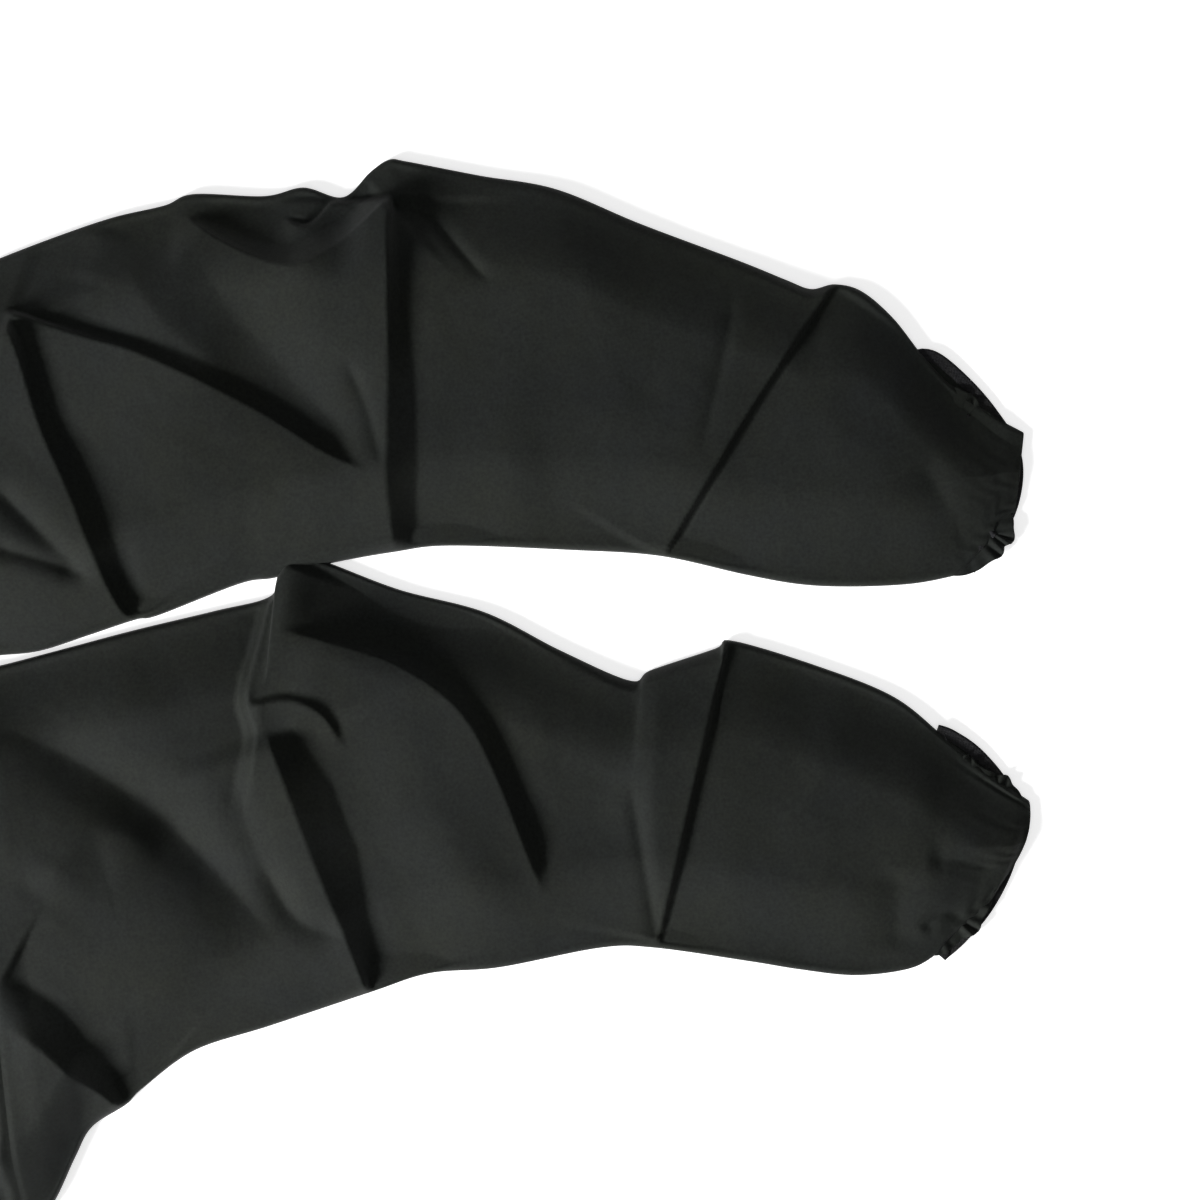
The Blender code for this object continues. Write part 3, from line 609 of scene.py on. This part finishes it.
def build_sleeve(side_name, upper_edge, lower_edge, folds, seed, bulge, nodes):
    """A sleeve's outer cloth, between its two edges in plan, and its rows without the hem."""
    upper = spline(upper_edge, SLEEVE_ALONG)
    lower = spline(lower_edge, SLEEVE_ALONG)
    along = np.linspace(0.0, 1.0, SLEEVE_ALONG)[:, None]
    # places crowd towards the two edges, where the cloth turns under
    across = 0.5 - 0.5 * np.cos(np.pi * np.linspace(0.0, 1.0, SLEEVE_ACROSS))
    even = np.linspace(0.0, 1.0, SLEEVE_ACROSS)
    across = (0.35 * across + 0.65 * even)[None, :]
    swell = bulge * smoothstep(0.90, 1.0, along)
    x = upper[:, :1] * (1 - across) + lower[:, :1] * across + swell * 4 * across * (1 - across)
    y = upper[:, 1:] * (1 - across) + lower[:, 1:] * across
    width = np.linalg.norm(upper - lower, axis=1)[:, None]
    in_from_edge = np.minimum(across, 1 - across) * width
    height = sleeve_height(along) * lens(in_from_edge)
    relief = Relief(x, y)
    folds(relief)
    relief.waves(0.009, 0.00010, 77)
    flat = smoothstep(0.0, 0.006, in_from_edge) * smoothstep(ARMHOLE_X, 0.336, x)
    seam = -0.0010 * np.exp(-(((x - ARMHOLE_X) / 0.0018) ** 2))
    # soft pulls running back from the elastic
    gather = smoothstep(0.90, 1.0, along)
    phase = across * width / 0.011 + 1.2 * lattice_noise(across * 5, along * 2, 1.0, 5 + seed)
    corner = 0.25 + 0.75 * smoothstep(0.30, 0.50, np.abs(across - 0.5))
    ruffle = np.sin(2 * np.pi * phase) * 0.0007 * gather * corner
    z = height + relief.z * (1 - 0.5 * gather) * flat + ruffle * flat + seam + SLEEVE_BASE
    z = np.maximum(z, 0.0035 * turned(in_from_edge, SLEEVE_ROLL) + 0.0015)
    top = np.stack([x, y, z], axis=-1)
    # the last rows roll down over the hem
    roll_down = smoothstep(0.978, 1.0, along)
    top[..., 2] -= roll_down**2 * (top[..., 2] - SLEEVE_BASE) * 0.42
    under_across = np.linspace(1.0, 0.0, SLEEVE_UNDER)[None, 1:-1]
    ux = upper[:, :1] * (1 - under_across) + lower[:, :1] * under_across
    ux = ux + swell * 4 * under_across * (1 - under_across)
    uy = upper[:, 1:] * (1 - under_across) + lower[:, 1:] * under_across
    edge_in = np.minimum(under_across, 1 - under_across) * width
    uz = UNDER_Z + 0.0012 * np.exp(-edge_in / 0.004)
    under = np.stack([ux, uy, np.broadcast_to(uz, ux.shape)], axis=-1)
    rows = np.concatenate([top, under], axis=1)
    # the cloth turns in at the mouth and runs back as its hem
    way_back = rows[-2] - rows[-1]
    way_back /= np.linalg.norm(way_back, axis=1)[:, None]
    centre = rows[-1].mean(axis=0)
    inward = (centre - rows[-1]) * np.array((0.02, 0.02, 0.16))
    hem = [rows[-1] - way_back * 0.0004 + inward * 0.5]
    for back in np.linspace(0.0, 1.0, 5):
        hem.append(rows[-1] + inward + way_back * HEM_DEPTH * back)
    rows_with_hem = keep_above(np.concatenate([rows, np.array(hem)]), 0.0007)
    obj = build_cloth(f"{side_name}_sleeve_cloth", rows_with_hem, True, (OUTER,))
    finish_piece(obj, "outer_cloth", *nodes)
    return obj, rows


right_sleeve, right_rows = build_sleeve(
    "right", RIGHT_UPPER_EDGE, RIGHT_LOWER_EDGE, right_folds, 0, 0.0,
    ("right_sleeve_upper", "right_sleeve_lower"),
)
left_sleeve, left_rows = build_sleeve(
    "left", LEFT_UPPER_EDGE, LEFT_LOWER_EDGE, left_folds, 1, 0.005,
    ("left_sleeve_upper", "left_sleeve_lower"),
)


def lining_within(rows):
    """A coarse tube inside a sleeve, under the lowest of the cloth round about it."""
    low = lowest_near(rows[..., 2], 4)
    top = np.arange(rows.shape[1]) < SLEEVE_ACROSS
    place = rows.copy()
    place[:, top, 2] = low[:, top] - 0.0022
    place[:, ~top, 2] = place[:, ~top, 2] + 0.0009
    centre = rows.mean(axis=1, keepdims=True)
    pull = centre - place
    pull[..., 2] = 0
    reach = np.maximum(np.linalg.norm(pull, axis=-1, keepdims=True), 1e-6)
    place += pull / reach * np.minimum(reach * 0.9, 0.0030)
    return keep_above(place, 0.0018)[::5, ::5]


def build_sleeve_inside(side_name, rows, hem_line, seed):
    """The lining tube, the tape round the armhole, and the hem and elastic at the mouth."""
    lining = lining_within(rows)[:-3]
    tube = build_cloth(f"{side_name}_sleeve_lining_cloth", lining, True, (LINING,))
    finish_piece(tube, "lining_cloth", f"{side_name}_sleeve_lining")
    tape_rows = keep_above(shift_in(rows[:9:2, ::3], LINING_INSET * 0.5), 0.0012)
    tape = build_cloth(f"{side_name}_armhole_reinforcement", tape_rows, True, (TAPE,))
    finish_piece(tape, "binding_tape", f"{side_name}_armhole_tape")
    # the gathered hem, ruffled where it shows
    ring = spline(hem_line + hem_line[:1], 720)[:-1]
    tangent = (np.roll(ring, -1, axis=0) - np.roll(ring, 1, axis=0))[:, :2]
    tangent /= np.maximum(np.linalg.norm(tangent, axis=1)[:, None], 1e-9)
    outward = np.stack([-tangent[:, 1], tangent[:, 0], np.zeros(len(ring))], axis=1)
    if np.sum(outward[:, :2] * (ring[:, :2] - ring[:, :2].mean(axis=0))) < 0:
        outward = -outward
    steps = np.linalg.norm(np.roll(ring, -1, axis=0) - ring, axis=1)
    run = np.cumsum(steps)
    shows = smoothstep(0.0038, 0.0056, ring[:, 2])
    ring[:, 2] -= 0.0013 * shows
    wander = lattice_noise(run, np.zeros(len(run)), 0.019, seed)
    phase = 2 * np.pi * (run / 0.0125 + 1.5 * wander)
    free = []
    for share in np.linspace(-1.0, 0.18, 13):
        loose = (share + 1) / 1.18
        wave = np.sin(phase + 0.5 * share)
        out = share * 0.0085 + shows * loose * 0.0012 * np.cos(phase * 0.5 + 1.0)
        lift = shows * (0.0004 + loose * 0.0017) * wave * (0.75 + 0.25 * np.sin(run / 0.017 + seed))
        place = ring + outward * out[:, None]
        place = place + np.stack([0 * run, 0 * run, lift - 0.0010 * loose * shows], axis=1)
        free.append(place)
    hem_rows = keep_above(np.stack(free, axis=0), 0.0012)
    hem_rows = np.concatenate([hem_rows, hem_rows[:, :1]], axis=1)
    hem = build_cloth(f"{side_name}_cuff_hem", hem_rows, False, (OUTER,))
    thicken(hem, 0.0007)
    finish_piece(hem, "binding_tape", f"{side_name}_cuff_binding")
    # the elastic, lying back from the mouth between the cloth and the lining
    flat_ring = ring - outward * 0.0100
    snake = 0.0008 * np.sin(phase * 0.5)
    flat_ring[:, 2] += snake * shows
    flat_ring = keep_above(flat_ring, 0.0016)
    elastic_rows = np.stack([flat_ring - outward * s for s in np.linspace(-0.003, 0.003, 5)], axis=0)
    elastic_rows = np.concatenate([elastic_rows, elastic_rows[:, :1]], axis=1)
    elastic = build_cloth(f"{side_name}_cuff_elastic_band", elastic_rows, False, (ELASTIC,))
    thicken(elastic, 0.0008)
    finish_piece(elastic, "elastic", f"{side_name}_cuff_elastic")
    return tube, tape, hem, elastic


right_inside = build_sleeve_inside("right", right_rows, RIGHT_HEM, 3)
left_inside = build_sleeve_inside("left", left_rows, LEFT_HEM, 8)

# ---- body ----------------------------------------------------------------------------------
BODY_ACROSS = 240
ZIP_END_HALF = 0.2851  # half the width of the open end that the outer zip closes
BODY_MOST_Z = 0.0330
SETTLED_MOST_Z = 0.0360
BODY_X = np.concatenate([
    np.linspace(ZIP_END_X, -0.300, 18)[:-1],
    np.linspace(-0.300, 0.290, 190)[:-1],
    np.linspace(0.290, ARMHOLE_X, 26),
])
# how the cloth turns in at the zip end: (share of the way from the fold, how far out)
END_TURN = ((1.0, 0.0), (0.86, 0.0016), (0.55, 0.0019), (0.22, 0.0017), (0.0, 0.0012))
RIGHT_SIDE = (
    (-0.320, 0.285), (-0.3195, 0.290), (-0.3130, 0.302), (-0.2960, 0.309), (-0.15, 0.3085),
    (0.0, 0.3088), (0.170, 0.309), (0.220, 0.303), (0.260, 0.279), (0.290, 0.242), (0.318, 0.200),
)
LEFT_SIDE = (
    (-0.320, 0.285), (-0.3195, 0.290), (-0.3130, 0.302), (-0.2960, 0.309), (-0.15, 0.3088),
    (0.0, 0.3084), (0.170, 0.309), (0.235, 0.309), (0.280, 0.303), (0.318, 0.285),
)


def side_at(points, x):
    """How far the side seam lies from the middle line, at each x."""
    line = spline(points, 900)
    return np.interp(x, np.maximum.accumulate(line[:, 0]), line[:, 1])


def seam_height(x):
    """The height of the side seam."""
    places = (-0.320, -0.25, 0.0, 0.2, 0.318)
    return np.interp(x, places, (0.0150, 0.0120, 0.0110, 0.0085, SLEEVE_BASE))


def body_roll(x):
    """How far in from the side the cloth takes to rise to the bag's full height."""
    places = (-0.320, -0.27, -0.10, 0.15, 0.27, 0.318)
    return np.interp(x, places, (0.020, 0.034, 0.050, 0.046, 0.026, SLEEVE_ROLL))


def body_folds(r):
    """Soft folds of a slack bag laid down: drags from the armholes, and pulls between its corners."""
    r.waves(0.190, 0.0040, 41)
    r.waves(0.085, 0.0022, 42)
    r.waves(0.034, 0.0005, 43)
    r.facet(
        ((0.310, 0.150), (0.240, 0.170), (0.170, 0.205), (0.110, 0.262)),
        "left", 0.0036, 0.030, 0.0026, (0.010, 0.014, 0.012), 0.050, (0.3, 0.35), 0.5,
    )
    r.facet(
        ((0.310, 0.045), (0.230, 0.052), (0.150, 0.030), (0.075, 0.045)),
        "right", 0.0034, 0.030, 0.0026, (0.010, 0.014, 0.012), 0.050, (0.3, 0.4), 0.5,
    )
    r.facet(
        ((0.310, -0.060), (0.215, -0.075), (0.135, -0.130), (0.060, -0.150)),
        "left", 0.0036, 0.030, 0.0028, (0.010, 0.016, 0.014), 0.050, (0.3, 0.4), 0.5,
    )
    r.facet(
        ((0.310, -0.190), (0.235, -0.205), (0.175, -0.250), (0.140, -0.296)),
        "right", 0.0034, 0.030, 0.0026, (0.010, 0.014, 0.010), 0.050, (0.3, 0.25), 0.5,
    )
    r.crease(((0.200, 0.120), (0.110, 0.130), (0.040, 0.190)), 0.0022, 0.012, (0.35, 0.35))
    r.crease(((-0.120, -0.110), (-0.190, -0.060), (-0.260, -0.040)), 0.0020, 0.012, (0.35, 0.35))


def end_top(y):
    """The height of the top cloth where it meets the zip end."""
    return np.interp(np.abs(y), (0.0, 0.255, 0.274, ZIP_END_HALF), (0.0268, 0.0264, 0.0238, 0.0152))


def end_fold(y):
    """The height of the folded edge that is sewn to the zip tape."""
    return np.interp(np.abs(y), (0.0, 0.264, 0.276, ZIP_END_HALF), (0.0214, 0.0210, 0.0190, 0.0151))


def turn_in(end, fold):
    """The rows from a folded edge, at height fold, to the cloth's end row."""
    turned_rows = []
    for share_up, out in reversed(END_TURN):
        row = end.copy()
        row[:, 2] = fold + (end[:, 2] - fold) * share_up
        row[:, 0] = ZIP_END_X + 0.0004 - out
        turned_rows.append(row)
    return np.array(turned_rows)


across = np.linspace(0.0, 1.0, BODY_ACROSS)
across = 0.30 * (0.5 - 0.5 * np.cos(np.pi * across)) + 0.70 * across
right_y = side_at(RIGHT_SIDE, BODY_X)[:, None]
left_y = -side_at(LEFT_SIDE, BODY_X)[:, None]
body_x = np.broadcast_to(BODY_X[:, None], (len(BODY_X), BODY_ACROSS)).copy()
body_y = right_y * (1 - across) + left_y * across
side_inset = np.minimum(right_y - body_y, body_y - left_y)
neck_inset = np.hypot(ARMHOLE_X - body_x, np.maximum(np.abs(body_y) - 0.003, 0.0))
neck_inset = np.where(body_x < 0.28, 1.0, neck_inset)
roll = body_roll(body_x)
base = seam_height(body_x)
crown = np.interp(
    body_x, (-0.320, -0.24, -0.05, 0.15, 0.26, 0.318), (0.0268, 0.0262, 0.0245, 0.0235, 0.0238, 0.024)
)
nearest = np.minimum(side_inset, neck_inset)
armhole_share = lens(nearest)
near_armhole = smoothstep(0.250, ARMHOLE_X, body_x)
body_share = np.minimum(turned(side_inset, roll), turned(neck_inset, 0.016))
share = body_share * (1 - near_armhole) + armhole_share * near_armhole
folds = Relief(body_x, body_y)
body_folds(folds)
pucker = np.sin(2 * np.pi * (body_x / 0.013 + 0.8 * lattice_noise(body_x, body_y, 0.05, 9)))
pucker = pucker * 0.0007 * np.exp(-side_inset / 0.010)
calm = smoothstep(0.0, 0.030, side_inset)
calm = calm * smoothstep(ARMHOLE_X, 0.285, body_x) * smoothstep(ZIP_END_X, -0.285, body_x)
body_z = base + (crown - base) * share + folds.z * calm + pucker * smoothstep(ARMHOLE_X, 0.29, body_x)
zip_end = smoothstep(-0.300, ZIP_END_X, body_x)
body_z = body_z * (1 - zip_end) + np.minimum(body_z, end_top(body_y)) * zip_end
body_z -= 0.0010 * np.exp(-(((body_x - ARMHOLE_X) / 0.0022) ** 2))
body_z = np.minimum(body_z, BODY_MOST_Z)
top_rows = np.stack([body_x, body_y, body_z], axis=-1)

top_rows = let_slack(top_rows, growth=0.032, held_up=0.70, bending=4.0, most=0.011)
top_rows[..., 2] = np.clip(top_rows[..., 2], 0.0, SETTLED_MOST_Z)

# the top cloth turns down at the zip end, to a folded edge sewn on the tape
top_end = top_rows[0].copy()
top_end[:, 2] = np.minimum(top_end[:, 2], end_top(top_end[:, 1]))
top_end_rows = turn_in(top_end, end_fold(top_end[:, 1]))
top_cloth_rows = np.concatenate([top_end_rows, top_rows[1:]], axis=0)

# the bottom cloth lies on the ground and climbs to the side seams and the zip end
under_z = base - (base - 0.0010) * turned(side_inset, roll * 0.8)
under_neck = turned(neck_inset, SLEEVE_ROLL)
under_z = np.minimum(under_z, under_z * under_neck + 0.0012 * (1 - under_neck))
mirror_end = 2 * ZIP_MIDDLE_Z - end_top(body_y)
under_z = under_z * (1 - zip_end) + np.maximum(np.minimum(under_z, 0.015), mirror_end) * zip_end
under_z = np.maximum(under_z, UNDER_Z)
bottom_rows = np.stack([body_x, body_y, under_z], axis=-1)
bottom_end = bottom_rows[0]
bottom_end_rows = turn_in(bottom_end, 2 * ZIP_MIDDLE_Z - end_fold(bottom_end[:, 1]))
bottom_cloth_rows = np.concatenate([bottom_end_rows, bottom_rows[1:]], axis=0)[:, ::4]

body_top = build_cloth("outer_top_cloth", top_cloth_rows, False, (OUTER,))
finish_piece(
    body_top, "outer_cloth", "outer_top_panel", "outer_right_gusset", "outer_left_gusset",
    "outer_neck_yoke", "outer_right_yoke", "outer_left_yoke",
)
body_bottom = build_cloth("outer_bottom_cloth", bottom_cloth_rows, False, (OUTER,))
finish_piece(body_bottom, "outer_cloth", "outer_bottom_panel")

# the lining lies just inside, from the inner zip to the armholes
inner = BODY_X > -0.2866
lining_low = lowest_near(top_rows[..., 2], 3)
lining_top = np.concatenate([top_rows[..., :2], lining_low[..., None]], axis=-1)
lining_top = lining_top[inner][::3, ::4] - np.array((0.0, 0.0, 0.0018))
lining_under = bottom_rows[inner][::3, ::4] + np.array((0.0, 0.0, 0.0014))
gap = lining_top[..., 2] - lining_under[..., 2]
middle = (lining_top[..., 2] + lining_under[..., 2]) / 2
lining_top[..., 2] = np.where(gap < 0.0006, middle + 0.0003, lining_top[..., 2])
lining_under[..., 2] = np.where(gap < 0.0006, middle - 0.0003, lining_under[..., 2])
for rows in (lining_top, lining_under):
    rows[..., 1] *= 0.9965
top_lining = build_cloth("lining_top_cloth", lining_top, False, (LINING,))
finish_piece(
    top_lining, "lining_cloth", "lining_top_panel", "lining_right_gusset", "lining_left_gusset",
    "lining_neck_yoke", "lining_right_yoke", "lining_left_yoke",
)
bottom_lining = build_cloth("lining_bottom_cloth", lining_under, False, (LINING,))
finish_piece(bottom_lining, "lining_cloth", "lining_bottom_panel")

# ---- side seams ----------------------------------------------------------------------------
for side_name, points, sign in (("right", RIGHT_SIDE, 1.0), ("left", LEFT_SIDE, -1.0)):
    x = np.linspace(-0.298, 0.206, 260)
    y = sign * (side_at(points, x) + 0.0006)
    z = seam_height(x)
    z = z + 0.0004 * np.sin(2 * np.pi * x / 0.0131)
    line = np.stack([x, y, z], axis=1)
    half_tall = 0.0048 * smoothstep(0.206, 0.190, x) + 0.0004
    rows = []
    for angle in np.linspace(0.0, 2 * np.pi, 15)[:-1]:
        bulge_out = np.sign(np.cos(angle)) * np.abs(np.cos(angle)) ** 0.6 * 0.0009
        rows.append(line + np.stack([0 * x, sign * (0 * x + bulge_out), half_tall * np.sin(angle)], axis=1))
    binding = build_cloth(f"{side_name}_side_binding_tape", np.stack(rows, axis=1), True, (TAPE,))
    finish_piece(binding, "binding_tape", f"{side_name}_side_binding")
    seam_line = line + np.array((0.0, sign * 0.00095, 0.0026))
    seam_line = seam_line[half_tall > 0.004]
    stitch_line(f"{side_name}_side_stitches", seam_line, STITCH_PITCH, "binding_tape")

# stitching along the armholes and along the fold at the zip end
top_line = top_rows[-4, :, :] + np.array((0.0, 0.0, 0.0002))
right_part = top_line[(top_line[:, 1] > 0.008) & (top_line[:, 1] < 0.190)]
left_part = top_line[(top_line[:, 1] < -0.008) & (top_line[:, 1] > -0.215)]
stitch_line("right_armhole_stitches", right_part, STITCH_PITCH, "outer_cloth")
stitch_line("left_armhole_stitches", left_part, STITCH_PITCH, "outer_cloth")
fold_y = np.linspace(-0.276, 0.276, 300)
upper_fold = np.stack([0 * fold_y + ZIP_END_X - 0.00145, fold_y, end_fold(fold_y) + 0.0018], axis=1)
lower_fold = upper_fold * np.array((1.0, 1.0, -1.0)) + np.array((0.0, 0.0, 2 * ZIP_MIDDLE_Z))
stitch_line("outer_zip_stitches_upper", upper_fold, 0.0030, "outer_cloth")
stitch_line("outer_zip_stitches_lower", lower_fold, 0.0030, "outer_cloth")

# ---- zips ----------------------------------------------------------------------------------
TOOTH_PITCH = 0.0030
CHAIN_HALF = 0.2582  # half the length of a row of teeth


def build_zip(zip_name, wall_x, tape_high, tape_end_drop):
    """Two tapes and two rows of moulded teeth that mesh, standing along the bag's width."""
    y = np.linspace(-0.280, 0.280, 281)
    chain_x = wall_x + 0.0007
    pieces = {}
    for half, way in (("upper", 1.0), ("lower", -1.0)):
        # past the end stops the two tapes meet, so no light passes between them
        low = 0.0024 - 0.0023 * smoothstep(0.2618, 0.2660, np.abs(y))
        high = tape_high - tape_end_drop * smoothstep(0.262, 0.280, np.abs(y))
        rows = []
        for share in np.linspace(0.0, 1.0, 9):
            z = ZIP_MIDDLE_Z + way * (low + (high - low) * share)
            ripple = 0.00012 * np.sin(2 * np.pi * y / 0.021 + share)
            rows.append(np.stack([0 * y + chain_x + 0.0001 + ripple, y, z], axis=1))
        tape = build_cloth(f"{zip_name}_tape_{half}_web", np.stack(rows, axis=0), False, (TAPE,))
        thicken(tape, 0.0006)
        finish_piece(tape, "binding_tape", f"{zip_name}_tape_{half}")
        pieces[half] = tape
        offset = 0.0 if half == "upper" else TOOTH_PITCH / 2  # so that the two rows mesh
        count = int((2 * CHAIN_HALF - 0.002) / TOOTH_PITCH)
        # half of one tooth's outline: a waist, then a wider head that meshes
        profile = ((-0.00055, 0.0028), (-0.00055, 0.0012), (-0.00105, 0.0002), (-0.00105, -0.0007))
        outline = profile + tuple((-a, b) for a, b in reversed(profile))
        points = []
        faces = []
        for k in range(count):
            place = -CHAIN_HALF + 0.0012 + offset + k * TOOTH_PITCH
            if place > CHAIN_HALF - 0.0009:
                continue
            base = len(points)
            for side in (-0.00095, 0.00095):
                for a, b in outline:
                    points.append((chain_x + side, place + a, ZIP_MIDDLE_Z + way * b))
            n = len(outline)
            faces.append(tuple(base + i for i in range(n)))
            faces.append(tuple(base + n + i for i in reversed(range(n))))
            for i in range(n):
                j = (i + 1) % n
                faces.append((base + j, base + i, base + n + i, base + n + j))
        mesh = bpy.data.meshes.new(f"{zip_name}_teeth_{half}_row")
        mesh.from_pydata(points, [], faces)
        teeth = bpy.data.objects.new(f"{zip_name}_teeth_{half}_row", mesh)
        bpy.context.scene.collection.objects.link(teeth)
        mesh.materials.append(TEETH)
        bevel = teeth.modifiers.new("soft_edges", "BEVEL")
        bevel.width = 0.00018
        bevel.segments = 1
        normals = teeth.modifiers.new("out", "WEIGHTED_NORMAL")
        normals.keep_sharp = True
        finish_piece(teeth, "zip_teeth", f"{zip_name}_teeth_{half}")
    return pieces


outer_tapes = build_zip("outer_zip", ZIP_END_X, 0.0100, 0.0072)
inner_tapes = build_zip("inner_zip", INNER_WALL_X, 0.0095, 0.0060)

# ---- the metal and moulded pieces that the CAD model already shapes -------------------------
for zip_name in ("outer_zip", "inner_zip"):
    for piece in ("slider", "pull", "stop_right", "stop_left"):
        node = bpy.data.objects[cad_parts[f"{zip_name}_{piece}"].name]
        node.data.materials.clear()
        node.data.materials.append(ENAMEL)
        bevel = node.modifiers.new("worn_edges", "BEVEL")
        bevel.width = 0.00022
        bevel.segments = 2
        bevel.limit_method = "ANGLE"

# ---- studio --------------------------------------------------------------------------------
floor_mesh = bpy.data.meshes.new("studio_floor")
floor_mesh.from_pydata([(-40, -40, 0), (40, -40, 0), (40, 40, 0), (-40, 40, 0)], [], [(0, 1, 2, 3)])
floor = bpy.data.objects.new("studio_floor", floor_mesh)
bpy.context.scene.collection.objects.link(floor)
STUDIO_WHITE = plain_material("studio_white", (0.80, 0.80, 0.80), 0.9)
floor_shader = STUDIO_WHITE.node_tree.nodes["Principled BSDF"]
floor_shader.inputs["Emission Color"].default_value = (1.0, 1.0, 1.0, 1.0)
floor_shader.inputs["Emission Strength"].default_value = 0.62
floor_mesh.materials.append(STUDIO_WHITE)

VIEW_CENTRE = Vector((0.6367, -0.0034, 0.0))
VIEW_TURN = math.radians(-6.5)
VIEW_WIDTH = 0.600
LENS = 85.0
SENSOR = 36.0

camera_data = bpy.data.cameras.new("camera")
camera_data.lens = LENS
camera_data.sensor_width = SENSOR
camera_data.clip_end = 50.0
camera = bpy.data.objects.new("camera", camera_data)
camera.location = VIEW_CENTRE + Vector((0, 0, VIEW_WIDTH * LENS / SENSOR))
camera.rotation_euler = (0.0, 0.0, VIEW_TURN)
bpy.context.scene.collection.objects.link(camera)
bpy.context.scene.camera = camera


def area_light(name, bearing, elevation, distance, size, power):
    """A square soft light aimed at the view's centre. Bearing 0 is the picture's right, 90 its top."""
    data = bpy.data.lights.new(name, "AREA")
    data.size = size
    data.energy = power
    light = bpy.data.objects.new(name, data)
    turn = math.radians(bearing) + VIEW_TURN
    lift = math.radians(elevation)
    away = Vector((math.cos(turn) * math.cos(lift), math.sin(turn) * math.cos(lift), math.sin(lift)))
    light.location = VIEW_CENTRE + away * distance
    light.rotation_euler = away.to_track_quat("Z", "Y").to_euler()
    bpy.context.scene.collection.objects.link(light)


area_light("key", 215, 25, 3.0, 0.8, 215)
area_light("top", 250, 80, 3.0, 3.0, 14)
world = bpy.data.worlds.new("studio")
world.use_nodes = True
world.node_tree.nodes["Background"].inputs["Color"].default_value = (1, 1, 1, 1)
world.node_tree.nodes["Background"].inputs["Strength"].default_value = 0.20
bpy.context.scene.world = world
bpy.context.scene.view_settings.view_transform = "Standard"
